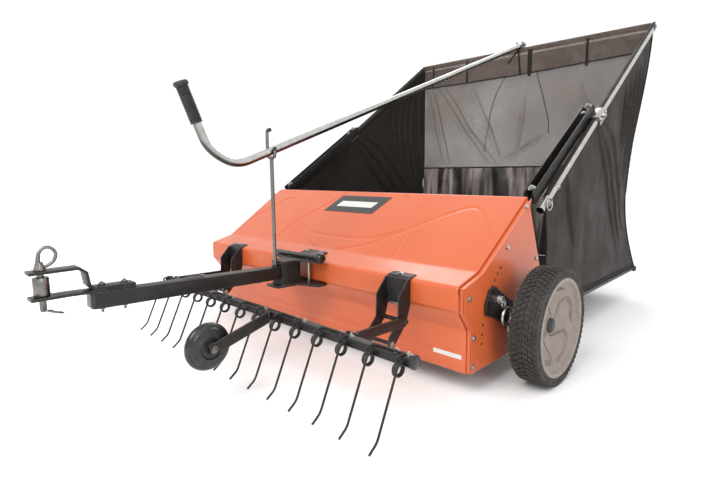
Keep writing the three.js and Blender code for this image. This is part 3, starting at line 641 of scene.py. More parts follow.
def smooth_by_angle():
    """A node group that clears a CAD mesh's custom normals and smooths it below an edge angle."""
    group = bpy.data.node_groups.new("smooth_by_angle", "GeometryNodeTree")
    group.interface.new_socket("Geometry", in_out="INPUT", socket_type="NodeSocketGeometry")
    group.interface.new_socket("Geometry", in_out="OUTPUT", socket_type="NodeSocketGeometry")
    nodes, links = group.nodes, group.links
    source = nodes.new("NodeGroupInput")
    strip = nodes.new("GeometryNodeRemoveAttribute")
    strip.inputs["Name"].default_value = "custom_normal"
    angle = nodes.new("GeometryNodeInputMeshEdgeAngle")
    below = nodes.new("FunctionNodeCompare")
    below.operation = "LESS_THAN"
    below.inputs["B"].default_value = math.radians(SMOOTH_BELOW)
    faces = nodes.new("GeometryNodeSetShadeSmooth")
    faces.domain = "FACE"
    edges = nodes.new("GeometryNodeSetShadeSmooth")
    edges.domain = "EDGE"
    result = nodes.new("NodeGroupOutput")
    links.new(source.outputs[0], strip.inputs["Geometry"])
    links.new(strip.outputs["Geometry"], faces.inputs["Geometry"])
    links.new(faces.outputs["Geometry"], edges.inputs["Geometry"])
    links.new(angle.outputs["Unsigned Angle"], below.inputs["A"])
    links.new(below.outputs["Result"], edges.inputs["Shade Smooth"])
    links.new(edges.outputs["Geometry"], result.inputs[0])
    return group


SMOOTHING = smooth_by_angle()


def dress(material, bevel, *names):
    """Gives CAD nodes that keep their shape a material and softened edges."""
    for name in names:
        node = frame["nodes"][name]
        node.data.materials.clear()
        node.data.materials.append(material)
        weld = node.modifiers.new("merge", "WELD")
        weld.merge_threshold = MERGE
        if bevel:
            add_bevel(node, bevel)
        node.modifiers.new("smooth", "NODES").node_group = SMOOTHING


# ------------------------------------------------------------------ housing
COVER_LINE = outer_line("top_cover")
if COVER_LINE[0][1] < COVER_LINE[-1][1]:
    COVER_LINE = COVER_LINE[::-1]
RIDGE = Vector(max(COVER_LINE, key=lambda p: p[1]))
KINK = Vector(COVER_LINE[[Vector(p) for p in COVER_LINE].index(RIDGE) + 1])
COVER_HALF = box("top_cover")[1].x
PLATE_X = box("end_plate_left")[1].x
SHAFT = local(pivot("brush_spin"))

# Raised beads on the cover as (x, distance down from the ridge), on its left half.
BEADS = [
    [(36, 306), (110, 280), (172, 247), (253, 180), (320, 118), (384, 70), (420, 58), (452, 78),
     (505, 150), (545, 215)],
    [(143, 14), (175, 66), (215, 128), (253, 180), (268, 232), (277, 296)],
    [(0, 243), (80, 240), (158, 229), (253, 180)],
]
BEAD_HEIGHT = 2.6
BEAD_WIDTH = 9.0
BEADS_END = 300.0                       # the beads stop this far down from the ridge
BEADS_MARGIN = 14.0                     # and this far from the cover's ends
SHEET = 2.0                             # thickness of the housing's sheets
FOLD_Z = 98.0                           # the front panel's shallow fold: its height, depth and width
FOLD_DEPTH = 2.2
FOLD_WIDTH = 6.0


def near_segment(p, q, start, end):
    """For arrays of points (p, q): the share of a segment at which each is nearest, and its distance."""
    dp, dq = end[0] - start[0], end[1] - start[1]
    share = np.clip(((p - start[0]) * dp + (q - start[1]) * dq) / (dp * dp + dq * dq), 0, 1)
    return share, np.hypot(p - start[0] - share * dp, q - start[1] - share * dq)


def bead_height(x, s):
    """How far the cover's beads stand proud at points (x, s), given as arrays."""
    nearest = np.full(x.shape, 1e6)
    for bead in BEADS:
        line = smooth([(a, b, 0) for a, b in bead], 6)
        for start, end in zip(line, line[1:]):
            nearest = np.minimum(nearest, near_segment(np.abs(x), s, start, end)[1])
    return BEAD_HEIGHT * np.cos(np.clip(nearest / BEAD_WIDTH, 0, 1) * math.pi / 2) ** 2


def bent_sheet(line, half, height, step=4.5):
    """A bent sheet along X from a (y, z) line; height(x, run) lifts it along its normal."""
    points = [Vector((p[0], p[1])) for p in line]
    runs = np.concatenate([[0], np.cumsum([(b - a).length for a, b in zip(points, points[1:])])])
    xs = np.linspace(-half, half, int(2 * half / step) + 1)
    rows = []
    for point, ahead, run in zip(points, tangents_of(points), runs):
        lift = height(xs, np.full(xs.shape, run))
        rows.append([(x, point.x + ahead.y * h, point.y - ahead.x * h) for x, h in zip(xs, lift)])
    shape = surface(rows)
    shape.faces = [f[::-1] for f in shape.faces]
    return shape


def make_cover():
    line = spaced(rounded(COVER_LINE, 7), 4.5)
    ridge = min(range(len(line)), key=lambda i: (line[i] - RIDGE).length)
    start = length_of(line[:ridge + 1])

    def height(x, run):
        down = run - start
        ends = np.clip((COVER_HALF - BEADS_MARGIN - np.abs(x)) / 10, 0, 1)
        return -bead_height(x, down) * ends * np.where(down < BEADS_END, 1, 0)

    build("top_cover_sheet", bent_sheet(line, COVER_HALF, height), ORANGE, "frame", 50,
          stands_for=["top_cover"], solidify=-SHEET)


def make_front_panel():
    line = spaced(rounded(outer_line("front_panel"), 6), 6)
    if line[0][1] < line[-1][1]:
        line = line[::-1]
    runs = [length_of(line[:i + 1]) for i in range(len(line))]
    heights = [p[1] for p in line]

    def fold(x, run):
        away = (np.interp(run, runs, heights) - FOLD_Z) / FOLD_WIDTH
        return -FOLD_DEPTH * np.exp(-away ** 2)

    build("front_panel_sheet", bent_sheet(line, COVER_HALF, fold, 12), ORANGE, "frame",
          50, stands_for=["front_panel"], solidify=-SHEET)


HOLE_REACH = 225.0                      # height holes, on an arc about the shaft
HOLE_RADIUS = 5.2
PLATE_THICK = 2.5
HOLE_ANGLES = (36, 41, 46, 51, 168.5, 174.5, 180.5)


def height_hole(angle, sides=14):
    a = math.radians(angle if angle > 90 else 180 - angle)
    centre = Vector((0, SHAFT.y + HOLE_REACH * math.cos(a), SHAFT.z + HOLE_REACH * math.sin(a)))
    return [(p.y, p.z) for p in circle(centre, HOLE_RADIUS, sides)]


def make_end_plates():
    outline, seat = end_loops("end_plate_left")[:2]
    flange = end_loops("end_plate_left", -1)[0]
    low = box("end_plate_left")[0]
    holes = [seat] + [height_hole(angle) for angle in HOLE_ANGLES]
    plate = extruded(outline, PLATE_X - PLATE_THICK, PLATE_X, holes)
    for side, shape in pair(plate + extruded(flange, low.x, PLATE_X - 0.6)):
        build(f"end_plate_{side}_sheet", shape, ORANGE, "frame", 30, 0.8,
              stands_for=[f"end_plate_{side}"])


COVER_SLOPE = (KINK - RIDGE).normalized()
COVER_UP = Vector((COVER_SLOPE.y, -COVER_SLOPE.x))


def on_cover(x, down, lift=0.0):
    """A point on the cover's slope, its distance down from the ridge, and a lift along the normal."""
    point = RIDGE + COVER_SLOPE * down + COVER_UP * lift
    return Vector((x, point.x, point.y))


def make_badges():
    """A blank dark plate on the cover and a blank pale label on the front panel."""
    outward = 1 if COVER_UP.y > 0 else -1

    def plate(x0, x1, d0, d1, lift, thick, slant):
        corners = [(x0 + slant, d0), (x1 + slant, d0), (x1, d1), (x0, d1)]
        low = [on_cover(x, d, outward * lift) for x, d in corners]
        high = [on_cover(x, d, outward * (lift + thick)) for x, d in corners]
        return Shape(low + high, [(3, 2, 1, 0), (4, 5, 6, 7), *ring_faces(0, 4, 4)])

    dark = plate(-170, 66, 30, 122, 1.4, 1.6, 26)
    pale = plate(-128, 42, 62, 92, 2.9, 0.5, 10)
    build("badge_plate", dark, LABEL_DARK, "frame", bevel=0.5)
    build("badge_stripe", pale, LABEL_PALE, "frame", bevel=0.15)
    face_y = min(p[0] for p in outer_line("front_panel") if p[1] < 100) - 0.3
    label = block((458, face_y - 0.7, 78), (540, face_y, 108))
    build("front_label", label, LABEL_PALE, "frame", bevel=0.2)


# ------------------------------------------------------------------ brush
BRISTLE_PITCH = 13.0
BRISTLE_LEANS = (-0.07, 0.0, 0.07)      # each tuft fans out into three, by these angles


def on_brush(x, radius, angle):
    return Vector((x, SHAFT.y + radius * math.cos(angle), SHAFT.z + radius * math.sin(angle)))


def make_brush():
    """Rows of bristle tufts fanned round the core."""
    low, high = box("brush_shaft")
    core = (high.z - low.z) / 2 - 1
    reach = max(math.hypot(p[0] - SHAFT.y, p[1] - SHAFT.z) for p in end_loops("bristle_strip_1")[0])
    half = box("bristle_strip_1")[1].x
    for number in range(1, 5):
        loop = end_loops(f"bristle_strip_{number}")[0]
        y, z = (sum(p[i] for p in loop) / len(loop) for i in range(2))
        base = math.atan2(z - SHAFT.z, y - SHAFT.y)
        tufts = []
        for i in range(int(2 * half / BRISTLE_PITCH)):
            x = -half + 6 + i * BRISTLE_PITCH
            for lean in BRISTLE_LEANS:
                angle = base + lean * 0.5 + random.uniform(-0.015, 0.015)
                tip_angle = base + lean * 1.6 + random.uniform(-0.03, 0.03)
                tip_x = x + random.uniform(-4, 4)
                foot = on_brush(x, core, angle)
                tip = on_brush(max(-half + 2, min(half - 2, tip_x)), reach, tip_angle)
                tufts.append(tube([foot, foot.lerp(tip, 0.5), tip], [2.2, 3.2, 4.2], 6))
        build(f"bristle_tufts_{number}", all_of(tufts), BRISTLE, "brush", 60,
              stands_for=[f"bristle_strip_{number}"])


# ------------------------------------------------------------------ wheels
WHEEL = local(pivot("wheel_left_spin"))
TYRE_LOW, TYRE_HIGH = box("tyre_left")
WHEEL_RADIUS = WHEEL.z - TYRE_LOW.z
RIM = 127.0
HUB_FOOT = (0, WHEEL.y, WHEEL.z)        # profiles of the wheel are turned about X from here


def wheel_point(radius, angle, x):
    return Vector((x, WHEEL.y + radius * math.cos(angle), WHEEL.z + radius * math.sin(angle)))


def tread_block(angle, width, x0, x1, skew, top, foot):
    """One tread block: its sides slope in and it leans round the tyre from x0 to x1."""
    verts = []
    for radius, trim in ((foot, 0.0), (top, 0.9)):
        for x, side in ((x0 + trim, -1), (x0 + trim, 1), (x1 - trim, 1), (x1 - trim, -1)):
            drift = skew if x >= (x0 + x1) / 2 else 0
            turn = (side * (width / 2 - trim)) / WHEEL_RADIUS
            verts.append(wheel_point(radius, angle + drift + turn, x))
    return Shape(verts, [(0, 1, 2, 3), (7, 6, 5, 4), (0, 4, 5, 1), (1, 5, 6, 2), (2, 6, 7, 3), (3, 7, 4, 0)])


# The tyre's wall as (radius, inset from the side), from the rim to the tread.
WALL = [(RIM + 0.3, 3.5), (RIM + 2, 1.6), (130, 1.9), (131, 0.9), (133, 0.9), (134, 2.0), (138.5, 1.4),
        (139.5, 0.4), (141.5, 0.4), (142.5, 1.2), (146, 2.4), (WHEEL_RADIUS - 4.5, 6)]
# Rows of tread: offset from the middle, width along X, how far round they lean, and their drop.
TREAD_ROWS = [(1.2, 12.0, 0.040, 0.0), (14.2, 10.5, 0.024, 0.2), (25.6, 8.4, 0.010, 0.9)]
TREAD_PITCHES = 62
TREAD_WIDTH = 10.6                      # of a block, round the tyre
# The shoulder lugs: the two offsets they lie between, their width, and their top and foot radii.
SHOULDER = (34.4, 37.3)
SHOULDER_WIDTH = 8.0
SHOULDER_TOP = 148.5
SHOULDER_FOOT = 143


def make_tyre():
    x0, x1 = TYRE_LOW.x, TYRE_HIGH.x
    middle = (x0 + x1) / 2
    foot = WALL[-1][0] - 1
    step = math.pi / TREAD_PITCHES
    profile = [(r, x0 + inset) for r, inset in WALL] + [(r, x1 - inset) for r, inset in WALL[::-1]]
    body = turned(profile, HUB_FOOT, X_AXIS, 120)
    blocks = []
    for i in range(TREAD_PITCHES):
        for side in (-1, 1):
            angle = 2 * step * (i + (0.5 if side > 0 else 0))
            for number, (offset, width, lean, drop) in enumerate(TREAD_ROWS):
                near, far = sorted((middle + side * offset, middle + side * (offset + width)))
                blocks.append(tread_block(angle + number * step, TREAD_WIDTH, near, far, side * lean,
                                          WHEEL_RADIUS - drop, foot))
            near, far = sorted(middle + side * offset for offset in SHOULDER)
            blocks.append(tread_block(angle + step, SHOULDER_WIDTH, near, far, 0.0, SHOULDER_TOP,
                                      SHOULDER_FOOT))
    for side, shape in pair(body + all_of(blocks)):
        build(f"tyre_{side}_tread", shape, RUBBER, f"wheel_{side}", 40, stands_for=[f"tyre_{side}"])


# The hub's dish as (radius, x): its grooved face first, then the rim's lip and inner wall.
DISH_FACE = [(12, 658), (26, 658), (30, 655), (52, 656), (62, 659), (107, 679), (112, 681.5), (116, 688)]
DISH_RIM = [(119, 691), (RIM - 1, 691), (RIM, 689.5), (RIM, 676), (RIM, 640), (RIM, 621), (RIM - 2, 619.5),
            (121, 619.5)]
DISH_BACK = [(12, 600), (22, 600), (26, 640), (64, 641), (86, 646), (104, 662), (118, 670), (121, 619.5)]
RIM_BEAD = [(119.5, 690.5), (121.5, 692), (124.5, 692), (125.8, 690.5)]
HUB_CAP = [(0, 669), (8, 668.5), (15, 666), (19, 662), (20.5, 655), (23, 653), (23, 648), (0, 648)]
# A hooked groove in the dish: radius, bearing in degrees and half width. It repeats round the hub.
GROOVE = [(27, -8, 1.4), (45, 22, 2.2), (62, 42, 2.8), (80, 50, 3.6), (92, 40, 5.0), (98, 20, 5.6),
          (99, -6, 2.4)]
GROOVES = 5
GROOVE_DEPTH = 7.5


GROOVE_REACH = 108.0


def groove_depth(radius, angles):
    """How deep the grooves are round a circle of the dish."""
    depth = np.zeros(len(angles))
    if radius >= GROOVE_REACH:
        return depth
    y, z = radius * np.cos(angles), radius * np.sin(angles)
    for number in range(GROOVES):
        turn = 2 * math.pi * number / GROOVES
        bearings = [math.radians(a) + turn for _, a, _ in GROOVE]
        line = [(r * math.cos(a), r * math.sin(a), w) for (r, _, w), a in zip(GROOVE, bearings)]
        for start, end in zip(line, line[1:]):
            share, away = near_segment(y, z, start, end)
            width = start[2] + share * (end[2] - start[2])
            depth = np.maximum(depth, np.clip((width + 1.4 - away) / 2.8, 0, 1))
    return GROOVE_DEPTH * depth


def make_hub():
    line = spaced([(r, x, 0) for r, x in DISH_FACE], 1.9) + [Vector((r, x, 0)) for r, x in DISH_RIM]
    angles = np.linspace(0, 2 * math.pi, 241)
    rows = []
    for radius, x, _ in line:
        rows.append([wheel_point(radius, a, x - d) for a, d in zip(angles, groove_depth(radius, angles))])
    back_sides = 84
    back = turned(DISH_BACK, HUB_FOOT, X_AXIS, back_sides)
    back.faces = [f for f in back.faces if max(f) - min(f) < back_sides * 3]     # leaves the middle open
    dish = surface(rows) + back + turned(RIM_BEAD, HUB_FOOT, X_AXIS, 96)
    for side, disc, cap in pair(dish, turned(HUB_CAP, HUB_FOOT, X_AXIS, 40)):
        body = f"wheel_{side}"
        build(f"hub_{side}_dish", disc, HUB, body, 42, stands_for=[f"wheel_hub_{side}"])
        build(f"hub_{side}_cap", cap, GLOSS, body, 40)


def make_gauge_wheel():
    low, high = box("gauge_wheel")
    centre = local(pivot("gauge_wheel_spin"))
    centre.x = (low.x + high.x) / 2
    shoulder = 13
    crown = (high.z - low.z) / 2 - shoulder
    half = (high.x - low.x) / 2
    wall = [(46, 15.5), (38, 18.5), (27, 20), (24, 17), (14, 17), (12, half), (6.3, half)]
    turns = [math.radians(d) for d in range(-75, 76, 15)]
    tread = [(math.cos(a) * shoulder + crown, math.sin(a) * shoulder) for a in turns]
    profile = [(r, -x) for r, x in wall[::-1]] + tread + wall
    build("gauge_wheel_disc", turned(profile, centre, X_AXIS, 64), GLOSS, "gauge_wheel", 42,
          stands_for=["gauge_wheel"])
    hardware = bolt((box("gauge_wheel_arm")[1].x, centre.y, centre.z), X_AXIS, 6, stem=3)
    nut = [(0, 0), (9, 0), (9, 5), (6, 7), (0, 7)]
    hardware += turned(nut, (low.x, centre.y, centre.z), -X_AXIS, 6)
    build("gauge_wheel_bolt", hardware, DULL_ZINC, "dethatcher")


# ------------------------------------------------------------------ height adjustment
def make_height_pins():
    """A spring pin with an eye, a linked pull ring and its tail, on each side, and its coil spring."""
    low, high = box("height_pin_left")
    x = high.x - 5.5
    bearing = math.radians(180 - 29)
    pin = Vector((x, SHAFT.y + HOLE_REACH * math.cos(bearing), SHAFT.z + HOLE_REACH * math.sin(bearing)))
    ring = Vector((x, -121, 190))
    shank = tube([(low.x, pin.y, pin.z), (x + 1, pin.y, pin.z)], 5, 20)
    eye = tube(circle(pin + Vector((0, 6, -10)), 8, 24), 2.4, 10, closed=True)
    link = tube(smooth([pin + Vector((0, 9, -17)), pin + Vector((0, 13, -22)), (x, -129, 209)]), 3, 10)
    hoop = tube(circle(ring, 21.5, 48), 3.9, 14, closed=True)
    tail = tube(smooth([(x, -112, 171), (x, -107, 150), (x, -99, 127)]), [4.4] * 8 + [5.2] * 9, 14)
    for side, shape in pair(all_of([shank, eye, link, hoop, tail])):
        build(f"height_pin_{side}_ring", shape, ZINC, f"height_pin_{side}", 50,
              stands_for=[f"height_pin_{side}"])
    coil = circle(pin, 8.6, 14) * 5
    path = [(low.x + 24 + 14 * i / len(coil), p.y, p.z) for i, p in enumerate(coil)]
    for side, shape in pair(tube(path, 1.2, 8)):
        build(f"height_spring_{side}", shape, ZINC, f"height_arm_{side}", 60)


# ------------------------------------------------------------------ hitch
def make_hitch():
    """The hitch pin with its lifting loop, the sleeve between the straps, and the hairpin clip."""
    pin_low, pin_high = box("hitch_pin")
    top = box("clevis_strap_upper")[1].z
    low, high = box("hitch_spacer")
    y = (low.y + high.y) / 2
    foot = (0, y, 0)
    shank = [(0, pin_low.z), (4.5, pin_low.z), (6.5, pin_low.z + 3), (6.5, top + 4), (0, top + 4)]
    collar = [(6.5, 0.3), (11, 0.3), (11.5, 3), (9.5, 7), (7.5, 14), (6.5, 17)]
    # The loop as (distance back from the pin, height), from the collar up, over and back down.
    rise = [(-1, top + 8), (-1.5, top + 20)]
    crown = [(1.5, -15), (9, -6), (19, -4.5), (28, -11), (31, -22)]
    fall = [(26, top + 17), (15, top + 9), (6, top + 6)]
    line = rise + [(back, pin_high.z + drop) for back, drop in crown] + fall
    loop = smooth([(0, y + back, z) for back, z in line], 8)
    loop_radius = [5.6 - 2.2 * min(1.0, i / 16) for i in range(len(loop))]
    pin = turned(shank, foot, Z_AXIS, 24) + turned(collar, (0, y, top), Z_AXIS, 24)
    pin += tube(loop, loop_radius, 14)
    build("hitch_pin_loop", pin, DULL_ZINC, "hitch_pin", 40, stands_for=["hitch_pin"])

    r = (high.y - low.y) / 2
    sleeve = [(7.2, low.z), (r - 1, low.z), (r, low.z + 1.5),
              (r, high.z - 1.5), (r - 1, high.z), (7.2, high.z)]
    build("hitch_sleeve", turned(sleeve, foot, Z_AXIS, 40), DULL_ZINC, "frame", 40,
          stands_for=["hitch_spacer"])

    hole = Vector((0, y, box("clevis_strap_lower")[0].z - 16))
    # The hairpin from the hole in the pin, as (x, back, down).
    hairpin = [(-16, 0, 0), (4, 0, 0), (14, 2, -1), (19, 12, -5), (17, 26, -10), (10, 33, -13), (2, 30, -12),
               (0, 22, -10), (-3, 17, -8), (-7, 13, -6), (-4, 10, -5)]
    clip = tube(smooth([hole + Vector(p) for p in hairpin], 6), 1.6, 10)
    build("hitch_hairpin", clip, DULL_ZINC, "hitch_clip", 50, stands_for=["hitch_clip"])


TONGUE_HALF = 18
TONGUE_LOW, TONGUE_HIGH = box("tongue_tube")
TONGUE_FRONT = Vector((0, TONGUE_LOW.y + 9, TONGUE_HIGH.z - TONGUE_HALF))
TONGUE_REAR = Vector((0, TONGUE_HIGH.y - 9, TONGUE_LOW.z + TONGUE_HALF))
TONGUE_SLOPE = (TONGUE_FRONT.z - TONGUE_REAR.z) / (TONGUE_FRONT.y - TONGUE_REAR.y)
TONGUE_LEAN = math.atan(TONGUE_SLOPE)
CLAMP_Y = -281.0                        # the bolts through both bracket plates and the housing's lip


def on_tongue(y, side=0.0):
    """The tongue's centre line at y, moved across it by a distance (up is positive)."""
    z = TONGUE_REAR.z + (y - TONGUE_REAR.y) * TONGUE_SLOPE
    return Vector((0, y - side * math.sin(TONGUE_LEAN), z + side * math.cos(TONGUE_LEAN)))


TONGUE_UP = on_tongue(0, 1) - on_tongue(0, 0)
LIP_TOP = box("hitch_bracket_upper")[0].z + 6      # top of the plate that clamps the housing's lip
BRACKET_UP = (0, -0.27, 1)              # square to the brackets' sloping plates
BRACKET_BOLT = (-224, 295.5)            # the (y, z) of the bolts through the upper plate's rear edge
STRAP_BOLTS = (-840, -792)              # the y of the bolts that hold the clevis straps


def make_tongue_plug():
    """The moulded plug that closes the tongue's front end."""
    tip = on_tongue(TONGUE_LOW.y + 2)
    forward = -Vector((0, math.cos(TONGUE_LEAN), math.sin(TONGUE_LEAN)))
    verts = []
    for inset, out in ((0.5, 0), (0.5, 5), (2.5, 7.5), (9, 8.5)):
        size = TONGUE_HALF - inset
        for u, v in ((-1, -1), (1, -1), (1, 1), (-1, 1)):
            verts.append(tip + X_AXIS * (u * size) + forward * out + TONGUE_UP * (v * size))
    faces = [(0, 1, 2, 3), (15, 14, 13, 12)]
    for i in range(3):
        faces += ring_faces(4 * i, 4 * i + 4, 4)
    build("tongue_plug", Shape(verts, faces), GLOSS, "frame", 30, 1.2)


def make_tongue_hardware():
    """The straps' bolts, the bracket's bolts, the lock bar with its knob, and a hairpin on the tongue."""
    shapes = []
    for y in STRAP_BOLTS:
        shapes.append(bolt(on_tongue(y, 31.5), TONGUE_UP, 6, stem=3))
        shapes.append(bolt(on_tongue(y, -TONGUE_HALF), -TONGUE_UP, 6, stem=8))
    shapes.append(bolt(on_tongue(-430, -TONGUE_HALF), -TONGUE_UP, 6))
    build("strap_fasteners", all_of(shapes), DULL_ZINC, "frame", 30)

    shapes = []
    lip = box("hitch_bracket_lower")[0].z
    for x in (-42, 42):
        shapes.append(bolt((x, CLAMP_Y, LIP_TOP), Z_AXIS, 6, stem=6))
        shapes.append(tube([(x, CLAMP_Y, lip + 7), (x, CLAMP_Y, LIP_TOP - 6)], 4.2, 14))
        shapes.append(bolt((x, CLAMP_Y, lip), -Z_AXIS, 6))
    for x in (-30, 30):
        shapes.append(bolt((x, *BRACKET_BOLT), BRACKET_UP, 5, stem=3))
    build("hitch_fasteners", all_of(shapes), ZINC, "frame", 30)
    make_tongue_plug()

    knob = [(12, 88), (15, 93), (15, 107), (12, 112), (6, 112), (5, 108), (0, 108)]
    bar = turned([(0, -104), (6, -104), (7, -102), (7, 86), *knob], (0, CLAMP_Y - 5, LIP_TOP + 8), X_AXIS, 28)
    build("hitch_lock_bar", bar, GLOSS, "frame", 35)

    hairpin = [(-640, 20, 8), (-612, 21, 10), (-596, 22, 4), (-606, 23, -6), (-630, 22, -4), (-655, 21, 2)]
    wire = smooth([on_tongue(y, side) + X_AXIS * x for y, side, x in hairpin], 8)
    build("tongue_hairpin", tube(wire, 1.5, 8), DULL_ZINC, "frame", 60)


# ------------------------------------------------------------------ dethatcher
LIFT = local(pivot("dethatcher_lift"))
BAR_LOW, BAR_HIGH = box("tine_bar")
LUG = Vector((-338, 132))               # the cross pin at the brackets' lower ends, as (y, z)
BRACKET_ROD = (-274, 213)               # the (y, z) of the rod between a bracket's cheeks
TINE_PAIRS = 7
TINE_WIRE = 2.6
COIL_REACH = 12.0
COIL_PITCH = 4.6
COIL_START, COIL_END = 60, 875          # degrees round the coil, from the bar's side to the leg


def make_tines():
    """Sprung wire tines in pairs: each has a coil under the bar, a straight leg and a bent tip."""
    bar_middle = (BAR_LOW + BAR_HIGH) / 2
    centre = Vector((0, BAR_LOW.y - 15, BAR_LOW.z - 3))
    y, z = bar_middle.y - 4, BAR_HIGH.z + TINE_WIRE         # where the wire lies on the bar
    bolts = []
    for number in range(1, TINE_PAIRS + 1):
        name = f"tine_pair_{number}"
        low, high = box(name)
        tip = Vector((low.y + TINE_WIRE, low.z + TINE_WIRE))
        forms = []
        for x in (low.x + 5.5, high.x - 5.5):
            coil = []
            for degrees in range(COIL_START, COIL_END + 1, 15):
                angle = math.radians(degrees)
                across = COIL_PITCH * (degrees - COIL_END) / 360
                coil.append((x + across, centre.y + COIL_REACH * math.cos(angle),
                             centre.z + COIL_REACH * math.sin(angle)))
            leg = rounded([coil[-1][1:], (tip.x + 22, tip.y + 16), tip], 9)
            forms.append(tube(coil + [(x, p.x, p.y) for p in leg[1:]], TINE_WIRE, 10))
            foot = coil[0]
            rise = [foot, (foot[0] - 1, centre.y + 3, z - 5), (foot[0] + 3, y - 5, z), (foot[0] + 8, y, z)]
            forms.append(tube(smooth(rise), TINE_WIRE, 10))
        forms.append(tube([(low.x, y, z), (high.x - 6, y, z)], TINE_WIRE, 10))
        build(f"{name}_wire", all_of(forms), BLACK, "dethatcher", 60, stands_for=[name])
        for x in (high.x - 35, high.x - 5):
            bolts.append(bolt((x, bar_middle.y, BAR_HIGH.z), Z_AXIS, 4.5, stem=4))
    build("tine_clamps", all_of(bolts), ZINC, "dethatcher", 30)
    knob = [(0, 0), (13, 0), (15, 2), (15, 8), (12, 10), (0, 10)]
    caps = turned(knob, (BAR_HIGH.x - 9, bar_middle.y, bar_middle.z), X_AXIS, 24)
    caps += turned(knob, (BAR_LOW.x + 9, bar_middle.y, bar_middle.z), -X_AXIS, 24)
    build("tine_bar_caps", caps, GLOSS, "dethatcher", 40)


def make_bracket_hardware():
    shapes = []
    for side in ("left", "right"):
        low, high = box(f"dethatcher_bracket_{side}")
        for x, out in ((low.x, -1), (high.x, 1)):
            shapes.append(bolt((x + out * 4, LIFT.y, LIFT.z), X_AXIS * out, 6, stem=3))
            shapes.append(bolt((x, LUG.x, LUG.y), X_AXIS * out, 5))
        shapes.append(bolt(((low.x + high.x) / 2 - 8, -254, LIP_TOP - 4), BRACKET_UP, 6, stem=4))
        shapes.append(tube([(low.x + 14, *BRACKET_ROD), (high.x - 14, *BRACKET_ROD)], 3, 10))
    build("dethatcher_fasteners", all_of(shapes), ZINC, "frame", 40)


# ------------------------------------------------------------------ hopper frame
TUBE = 11.0                             # radius of the hopper's and handle's tubes
TUBE_BOX = box("hopper_side_tube_left")
TUBE_X = (TUBE_BOX[0].x + TUBE_BOX[1].x) / 2
TUBE_LOW = Vector((TUBE_BOX[0].y + 6.2, TUBE_BOX[0].z + 9.1))
TUBE_HIGH = Vector((TUBE_BOX[1].y - 6.2, TUBE_BOX[1].z - 9.1))
HOPPER = local(pivot("hopper_dump"))
FLOOR_LOW, FLOOR_HIGH = box("hopper_bottom_frame")
REAR_LOW_Y = FLOOR_HIGH.y - 9
ARM_X = box("support_arm_left")[1].x
ARM_UP = (0, -0.545, 0.838)             # square to the support arm
ARM_NUTS = [(112, 494, 7, 4), (506, 750.5, 7, 4), (470, 727, 5, 0)]      # y, z, size and stem


def on_tube(y):
    share = (y - TUBE_LOW.x) / (TUBE_HIGH.x - TUBE_LOW.x)
    return TUBE_LOW.lerp(TUBE_HIGH, share)


def make_hopper_tubes():
    top = (box("hopper_top_tube")[0] + box("hopper_top_tube")[1]) / 2
    corner = Vector((TUBE_X, top.y, top.z))
    low = Vector((TUBE_X, *TUBE_LOW))
    up = Vector((0, *(TUBE_HIGH - TUBE_LOW).normalized()))
    for side, shape in pair(tube([low, corner - up * 24], TUBE, 28)):
        build(f"hopper_tube_{side}", shape, STEEL, "hopper", 40,
              stands_for=[f"hopper_side_tube_{side}"])
    elbow = tube(rounded([corner - up * 42, corner, corner - X_AXIS * 42], 24, 8), TUBE + 1.4, 24)
    build("hopper_elbows", both(elbow), GLOSS, "hopper", 45)
    ends = [(-TUBE_X + 24, top.y, top.z), (TUBE_X - 24, top.y, top.z)]
    build("hopper_cross_tube", tube(ends, TUBE, 28), STEEL, "hopper", 40,
          stands_for=["hopper_top_tube"])


def make_hopper_fasteners():
    """The bolts and ring at the side tubes' lower ends, the saddles' bolts and the support arms' nuts."""
    near, far = (Vector((TUBE_X + 8, *on_tube(TUBE_LOW.x + along))) for along in (30, 92))
    saddle = Vector((TUBE_X + 15, HOPPER.y, HOPPER.z))
    forms = [
        bolt(near, X_AXIS, 8, stem=4),
        tube(circle(near + Vector((5, 0, -4)), 17, 28), 2.4, 8, closed=True),
        bolt(far, X_AXIS, 6, stem=3),
        bolt(saddle + Vector((0, 0, 3)), X_AXIS, 8, stem=5),
        bolt(saddle + Vector((0, 20, 17)), X_AXIS, 5),
        bolt(saddle + Vector((0, -20, -11)), X_AXIS, 5),
    ]
    build("hopper_fasteners", both(all_of(forms)), ZINC, "hopper", 40)
    nuts = [bolt((ARM_X - 15, y, z), ARM_UP, size, stem=stem) for y, z, size, stem in ARM_NUTS]
    build("support_arm_nuts", both(all_of(nuts)), ZINC, "frame", 40)


def make_bottom_frame():
    """The bottom rods end in moulded caps that stand out past the bag's rear corners."""
    z = (FLOOR_LOW.z + FLOOR_HIGH.z) / 2
    cap = turned([(0, -16), (11.5, -16), (12, -13), (12, 3), (10, 6), (0, 6)],
                 (FLOOR_HIGH.x - 6.5, REAR_LOW_Y, z), X_AXIS, 24)
    build("bottom_frame_caps", both(cap), GLOSS, "hopper", 40)


# ------------------------------------------------------------------ hopper bag
CORNER_PULL = 43.0                      # how far the slack rear corners draw in
SEAM_Z = 560.0
BAG_FLOOR = box("bag_floor")[1].z
TOP_GAP = 20.0                          # from the side tube's middle down to the panel's flat part
FRONT_TOP_Y = 150.0                     # where the side panel's front edge starts and ends
FRONT_LOW_Y = 200.0
REAR_TOP = box("bag_mesh")[1]
ARM_CLEAR = 110.0                       # the cloth stays outside the support arm this near its pivot
SIDE_X = TUBE_X - 4
CLOTH_THICK = 1.2
NET_THICK = 0.8

